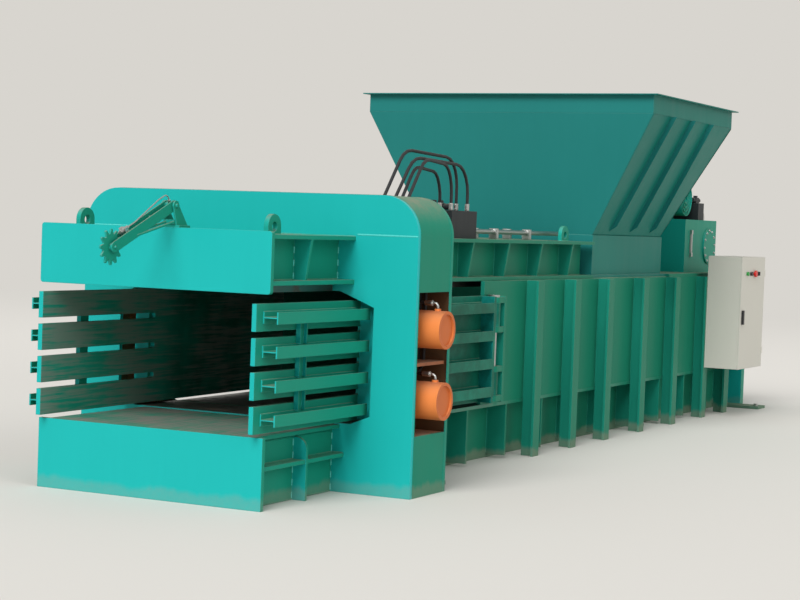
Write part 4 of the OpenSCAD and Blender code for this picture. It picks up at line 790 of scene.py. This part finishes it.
def rear_welds():
    """Seams of the crosshead's ribs behind the channel."""
    low, high = box("rear_crosshead")
    face = low[1] + CROSSHEAD_PLATE
    z = (RIB_INSET, high[2] - RIB_INSET)
    return both_sides([(line(x + side * RIB_HALF, face, z), X * side, Y)
                       for x in CROSSHEAD_RIBS for side in (-1, 1)])


# Where the gates' pieces lie while the gates stand parallel to the channel

GATE_FACE = 0.805
SLAT_H, SLAT_PITCH, SLATS = 0.155, 0.191, 4
RAIL_HALF = 0.034
RAIL_STEP, RAIL_WEB_HALF = 0.009, 0.0035
RAIL_RUNS = ((FRONT - 1.0, FRONT + 0.05), (FRONT + 0.37, FRONT + 1.802))
THRUST_BOX = (FRONT + 0.11, FRONT + 0.37)
STRAP = (FRONT - 0.64, FRONT - 0.56)
STRAP_DEPTH = 0.03


def gate_welds():
    """Seams on the right gate, parallel to the channel: rails, straps, thrust box and stile."""
    foot = box("gate_plate_right")[0][2]
    middles = [foot + SLAT_H / 2 + k * SLAT_PITCH for k in range(SLATS)]
    stile = RAIL_RUNS[1][1]
    runs = []
    for middle in middles:
        for y in RAIL_RUNS:
            runs += [(line(GATE_FACE, y, middle + side * RAIL_HALF), side * Z, X) for side in (-1, 1)]
            runs += [(line(GATE_FACE + RAIL_STEP, y, middle + side * RAIL_WEB_HALF), X, side * Z)
                     for side in (-1, 1)]
    for middle in middles:
        z = (middle - SLAT_H / 2, middle + SLAT_H / 2)
        runs += [(line(GATE_FACE, y, z), side * Y, X)
                 for y, side in ((THRUST_BOX[0], -1), (THRUST_BOX[1], 1), (stile, -1))]
    for below, above in zip(middles[:-1], middles[1:]):
        for z, lift in ((below + RAIL_HALF, Z), (above - RAIL_HALF, -Z)):
            runs += [(line((GATE_FACE, GATE_FACE + STRAP_DEPTH), y, z), side * Y, lift)
                     for y, side in ((STRAP[0], -1), (STRAP[1], 1))]
    return runs


def make_gate_welds():
    """Leans the seams in about the hinge, as the gates stand at rest, on both sides."""
    for side, sign in SIDES:
        joint = HINGE[f"gate_{side}_hinge"]
        pivot = Vector(joint["pos_m"])
        lean = Matrix.Rotation(-sign * math.radians(-joint["range_deg"][0]), 4, "Z")
        place = Matrix.Translation(pivot) @ lean @ Matrix.Translation(-pivot)
        flip = (sign, 1, 1)
        runs = [(path * flip, across * flip, lift * flip) for path, across, lift in gate_welds()]
        make_beads(f"gate_welds_{side}", runs, "gate_frame", f"gate_{side}",
                   THIN_BEAD, place)


# Fasteners

BOLT_SIDES = 24
HEXAGON_FLAT = 0.75
# Radius and height of each ring, in thread sizes; the hexagon has no one radius
BOLT_RINGS = ((1.05, -0.1), (1.05, 0.13), (1.0, 0.16), (None, 0.16), (None, 0.7), (0.72, 0.8),
              (0.05, 0.8))


def bolt_shape(d):
    """A hexagon head on its washer, the axis along +Z and the washer's foot just below 0.

    Its rings have the radius of BOLT_RINGS, or r(f) = 0.75 / cos((f mod 60) - 30) for the hexagon."""
    f = np.linspace(0.0, 2 * math.pi, BOLT_SIDES, endpoint=False)
    hexagon = HEXAGON_FLAT / np.cos(np.mod(f, math.pi / 3) - math.pi / 6)
    rings = [(hexagon if r is None else np.full_like(f, r), np.full_like(f, z)) for r, z in BOLT_RINGS]
    points = np.concatenate([np.stack([r * np.cos(f), r * np.sin(f), z], 1) for r, z in rings]) * d
    grid = np.arange(len(rings) * BOLT_SIDES).reshape(len(rings), BOLT_SIDES)
    onward = np.roll(grid, -1, 1)
    faces = np.stack([grid[:-1], onward[:-1], onward[1:], grid[1:]], -1).reshape(-1, 4)
    return points, faces


def make_bolts(name, places, axis, d):
    """Bolt heads of thread size d at all the places, pointing along axis."""
    points, faces = bolt_shape(d)
    turn = np.array(Vector(axis).to_track_quat("Z", "Y").to_matrix())
    points = points @ turn.T
    spots = np.asarray(places, float)
    many = (spots[:, None, :] + points[None, :, :]).reshape(-1, 3)
    all_faces = (faces[None] + (np.arange(len(spots)) * len(points))[:, None, None]).reshape(-1, 4)
    return new_piece(name, many, all_faces, "zinc", "frame")


def ring_of(centre, radius, count, u, v, start):
    """Places evenly round a circle."""
    f = start + np.arange(count) * 2 * math.pi / count
    return np.asarray(centre) + radius * (np.cos(f)[:, None] * u + np.sin(f)[:, None] * v)


MAIN_FLANGE = 0.06
MAIN_RING = {"radius": 0.206, "count": 12, "u": X, "v": Z, "start": 0.26}
SQUEEZE_X, SQUEEZE_INSET = 0.99, 0.15
SQUEEZE_RING = {"radius": 0.133, "count": 10, "u": Y, "v": Z, "start": 0.31}
COVER_INSET = 0.2285
COVER_RING = {"radius": 0.145, "count": 12, "u": Y, "v": Z, "start": 0.1}
ANCHOR_X, ANCHOR_INSET = 1.01, 0.11
MOTOR_FEET_X, MOTOR_FEET_HALF, MOTOR_FOOT_H = (0.12, 0.27), 0.135, 0.018


def make_fasteners():
    """Bolts of the main cylinder, squeeze cylinders, tank cover, anchors and motor feet."""
    barrel = box("main_barrel")
    main_flange_back = box("rear_crosshead")[0][1] + CROSSHEAD_PLATE + MAIN_FLANGE
    main_centre = (0, main_flange_back, (barrel[0][2] + barrel[1][2]) / 2)
    make_bolts("main_flange_bolts", ring_of(main_centre, **MAIN_RING), Y, d=0.03)
    low, high = box("squeeze_barrels")
    tubes = [(SQUEEZE_X, (low[1] + high[1]) / 2, z)
             for z in (low[2] + SQUEEZE_INSET, high[2] - SQUEEZE_INSET)]
    rings = np.concatenate([ring_of(tube, **SQUEEZE_RING) for tube in tubes])
    for side, sign in SIDES:
        make_bolts(f"squeeze_flange_bolts_{side}", rings * (sign, 1, 1), sign * X, d=0.016)
    low, high = box("oil_tank")
    cover = (high[0], high[1] - COVER_INSET, (low[2] + high[2]) / 2)
    make_bolts("tank_cover_bolts", ring_of(cover, **COVER_RING), X, d=0.012)
    low, high = box("anchor_feet")
    anchors = [(x, y, high[2]) for x in (-ANCHOR_X, ANCHOR_X)
               for y in (low[1] + ANCHOR_INSET, high[1] - ANCHOR_INSET)]
    make_bolts("anchor_bolts", anchors, Z, d=0.024)
    low, high = box("pump_motor")
    middle = (low[1] + high[1]) / 2
    feet = [(x, middle + side * MOTOR_FEET_HALF, low[2] + MOTOR_FOOT_H)
            for x in MOTOR_FEET_X for side in (-1, 1)]
    make_bolts("motor_bolts", feet, Z, d=0.014)


# Floor, light and camera

FLOOR_SIZE = 400.0
FLOOR_FADE = (9.0, 26.0)
SKY_LEVEL = 0.5
SUN_DISTANCE = 20
SUNS = {
    "key_sun": {"level": 2.45, "azimuth": 6, "elevation": 42, "spread": 35},
    "fill_sun": {"level": 0.6, "azimuth": 75, "elevation": 30, "spread": 40},
}
CAMERA_PLACE = (6.272, -13.409, 1.632)
CAMERA_AIM = (0.0, -1.058, 1.087)
CAMERA_ROLL = 2.084
LENS_PIXELS = 1930
PICTURE_PIXELS = 800
SENSOR = 36.0
NEAREST = 0.1


def make_floor():
    """A wide pale plane that fades into the backdrop far from the machine."""
    half = FLOOR_SIZE / 2
    mesh = bpy.data.meshes.new("floor")
    mesh.from_pydata([(-half, -half, 0), (half, -half, 0), (half, half, 0), (-half, half, 0)], [],
                     [(0, 1, 2, 3)])
    floor = bpy.data.objects.new("floor", mesh)
    bpy.context.collection.objects.link(floor)
    material, tree, shader = new_material("pale_floor")
    distance = add(tree, "VectorMath", {"operation": "LENGTH"}, {0: object_place(tree)}).outputs["Value"]
    far = smooth(tree, distance, *FLOOR_FADE)
    feed(tree, shader.inputs, {
        "Base Color": linear(FLOOR_PALE), "Roughness": 0.9, "Specular IOR Level": 0.1})
    glow = add(tree, "Emission", None, {"Color": linear(FLOOR_PALE), "Strength": 1.0}).outputs[0]
    shown = product(tree, far, add(tree, "LightPath").outputs["Is Camera Ray"])
    blend = add(tree, "MixShader", None, {0: shown, 1: shader.outputs[0], 2: glow}).outputs[0]
    tree.links.new(blend, tree.nodes["Material Output"].inputs["Surface"])
    mesh.materials.append(material)


def make_sky():
    """An even pale sky for light, and the backdrop's colour where the camera or a mirror looks at it."""
    world = bpy.data.worlds.new("studio")
    world.use_nodes = True
    bpy.context.scene.world = world
    tree = world.node_tree
    tree.nodes.clear()
    light, shown = (add(tree, "Background", None, {"Color": colour, "Strength": level}).outputs[0]
                    for colour, level in (((1.0, 1.0, 1.0, 1.0), SKY_LEVEL), (linear(FLOOR_PALE), 1.0)))
    path = add(tree, "LightPath").outputs
    mirror = maths(tree, "MAXIMUM", path["Is Glossy Ray"], path["Is Transmission Ray"])
    either = maths(tree, "MAXIMUM", path["Is Camera Ray"], mirror)
    blend = add(tree, "MixShader", None, {0: either, 1: light, 2: shown}).outputs[0]
    output = tree.nodes.new("ShaderNodeOutputWorld")
    tree.links.new(blend, output.inputs["Surface"])


def make_sun(name, level, azimuth, elevation, spread):
    """A soft distant lamp; azimuth 0 comes from -Y and 90 from +X."""
    data = bpy.data.lights.new(name, "SUN")
    data.energy = level
    data.angle = math.radians(spread)
    lamp = bpy.data.objects.new(name, data)
    a, e = math.radians(azimuth), math.radians(elevation)
    toward = Vector((math.sin(a) * math.cos(e), -math.cos(a) * math.cos(e), math.sin(e)))
    lamp.rotation_mode = "QUATERNION"
    lamp.rotation_quaternion = toward.to_track_quat("Z", "Y")
    lamp.location = toward * SUN_DISTANCE
    bpy.context.collection.objects.link(lamp)


def make_camera():
    """The photograph's standpoint and tilt, turned to the middle of the whole machine."""
    data = bpy.data.cameras.new("camera")
    data.sensor_width = SENSOR
    data.lens = SENSOR * LENS_PIXELS / PICTURE_PIXELS
    data.clip_start, data.clip_end = NEAREST, FLOOR_SIZE
    camera = bpy.data.objects.new("camera", data)
    place = Vector(CAMERA_PLACE)
    look = (Vector(CAMERA_AIM) - place).normalized()
    turn = look.to_track_quat("-Z", "Y").to_matrix().to_4x4()
    roll = Matrix.Rotation(math.radians(CAMERA_ROLL), 4, "Z")
    camera.matrix_world = Matrix.Translation(place) @ turn @ roll
    bpy.context.collection.objects.link(camera)
    bpy.context.scene.camera = camera


dress_nodes()
make_beads("portal_welds", portal_welds(), "front", "frame")
make_beads("exit_welds", exit_welds(), "side", "frame")
make_beads("exit_stitches", exit_stitches(), "seam", "frame")
make_beads("tank_welds", tank_welds(), "side", "frame", THIN_BEAD)
make_beads("lug_welds", lug_welds(), "side", "frame")
make_beads("channel_welds", channel_welds(), "channel", "frame")
make_beads("hopper_welds", hopper_welds(), "hopper", "frame", THIN_BEAD)
make_beads("rear_welds", rear_welds(), "front", "frame", THICK_BEAD)
make_gate_welds()
make_fasteners()
make_floor()
make_sky()
for sun, settings in SUNS.items():
    make_sun(sun, **settings)
make_camera()
bpy.context.scene.view_settings.view_transform = "Standard"
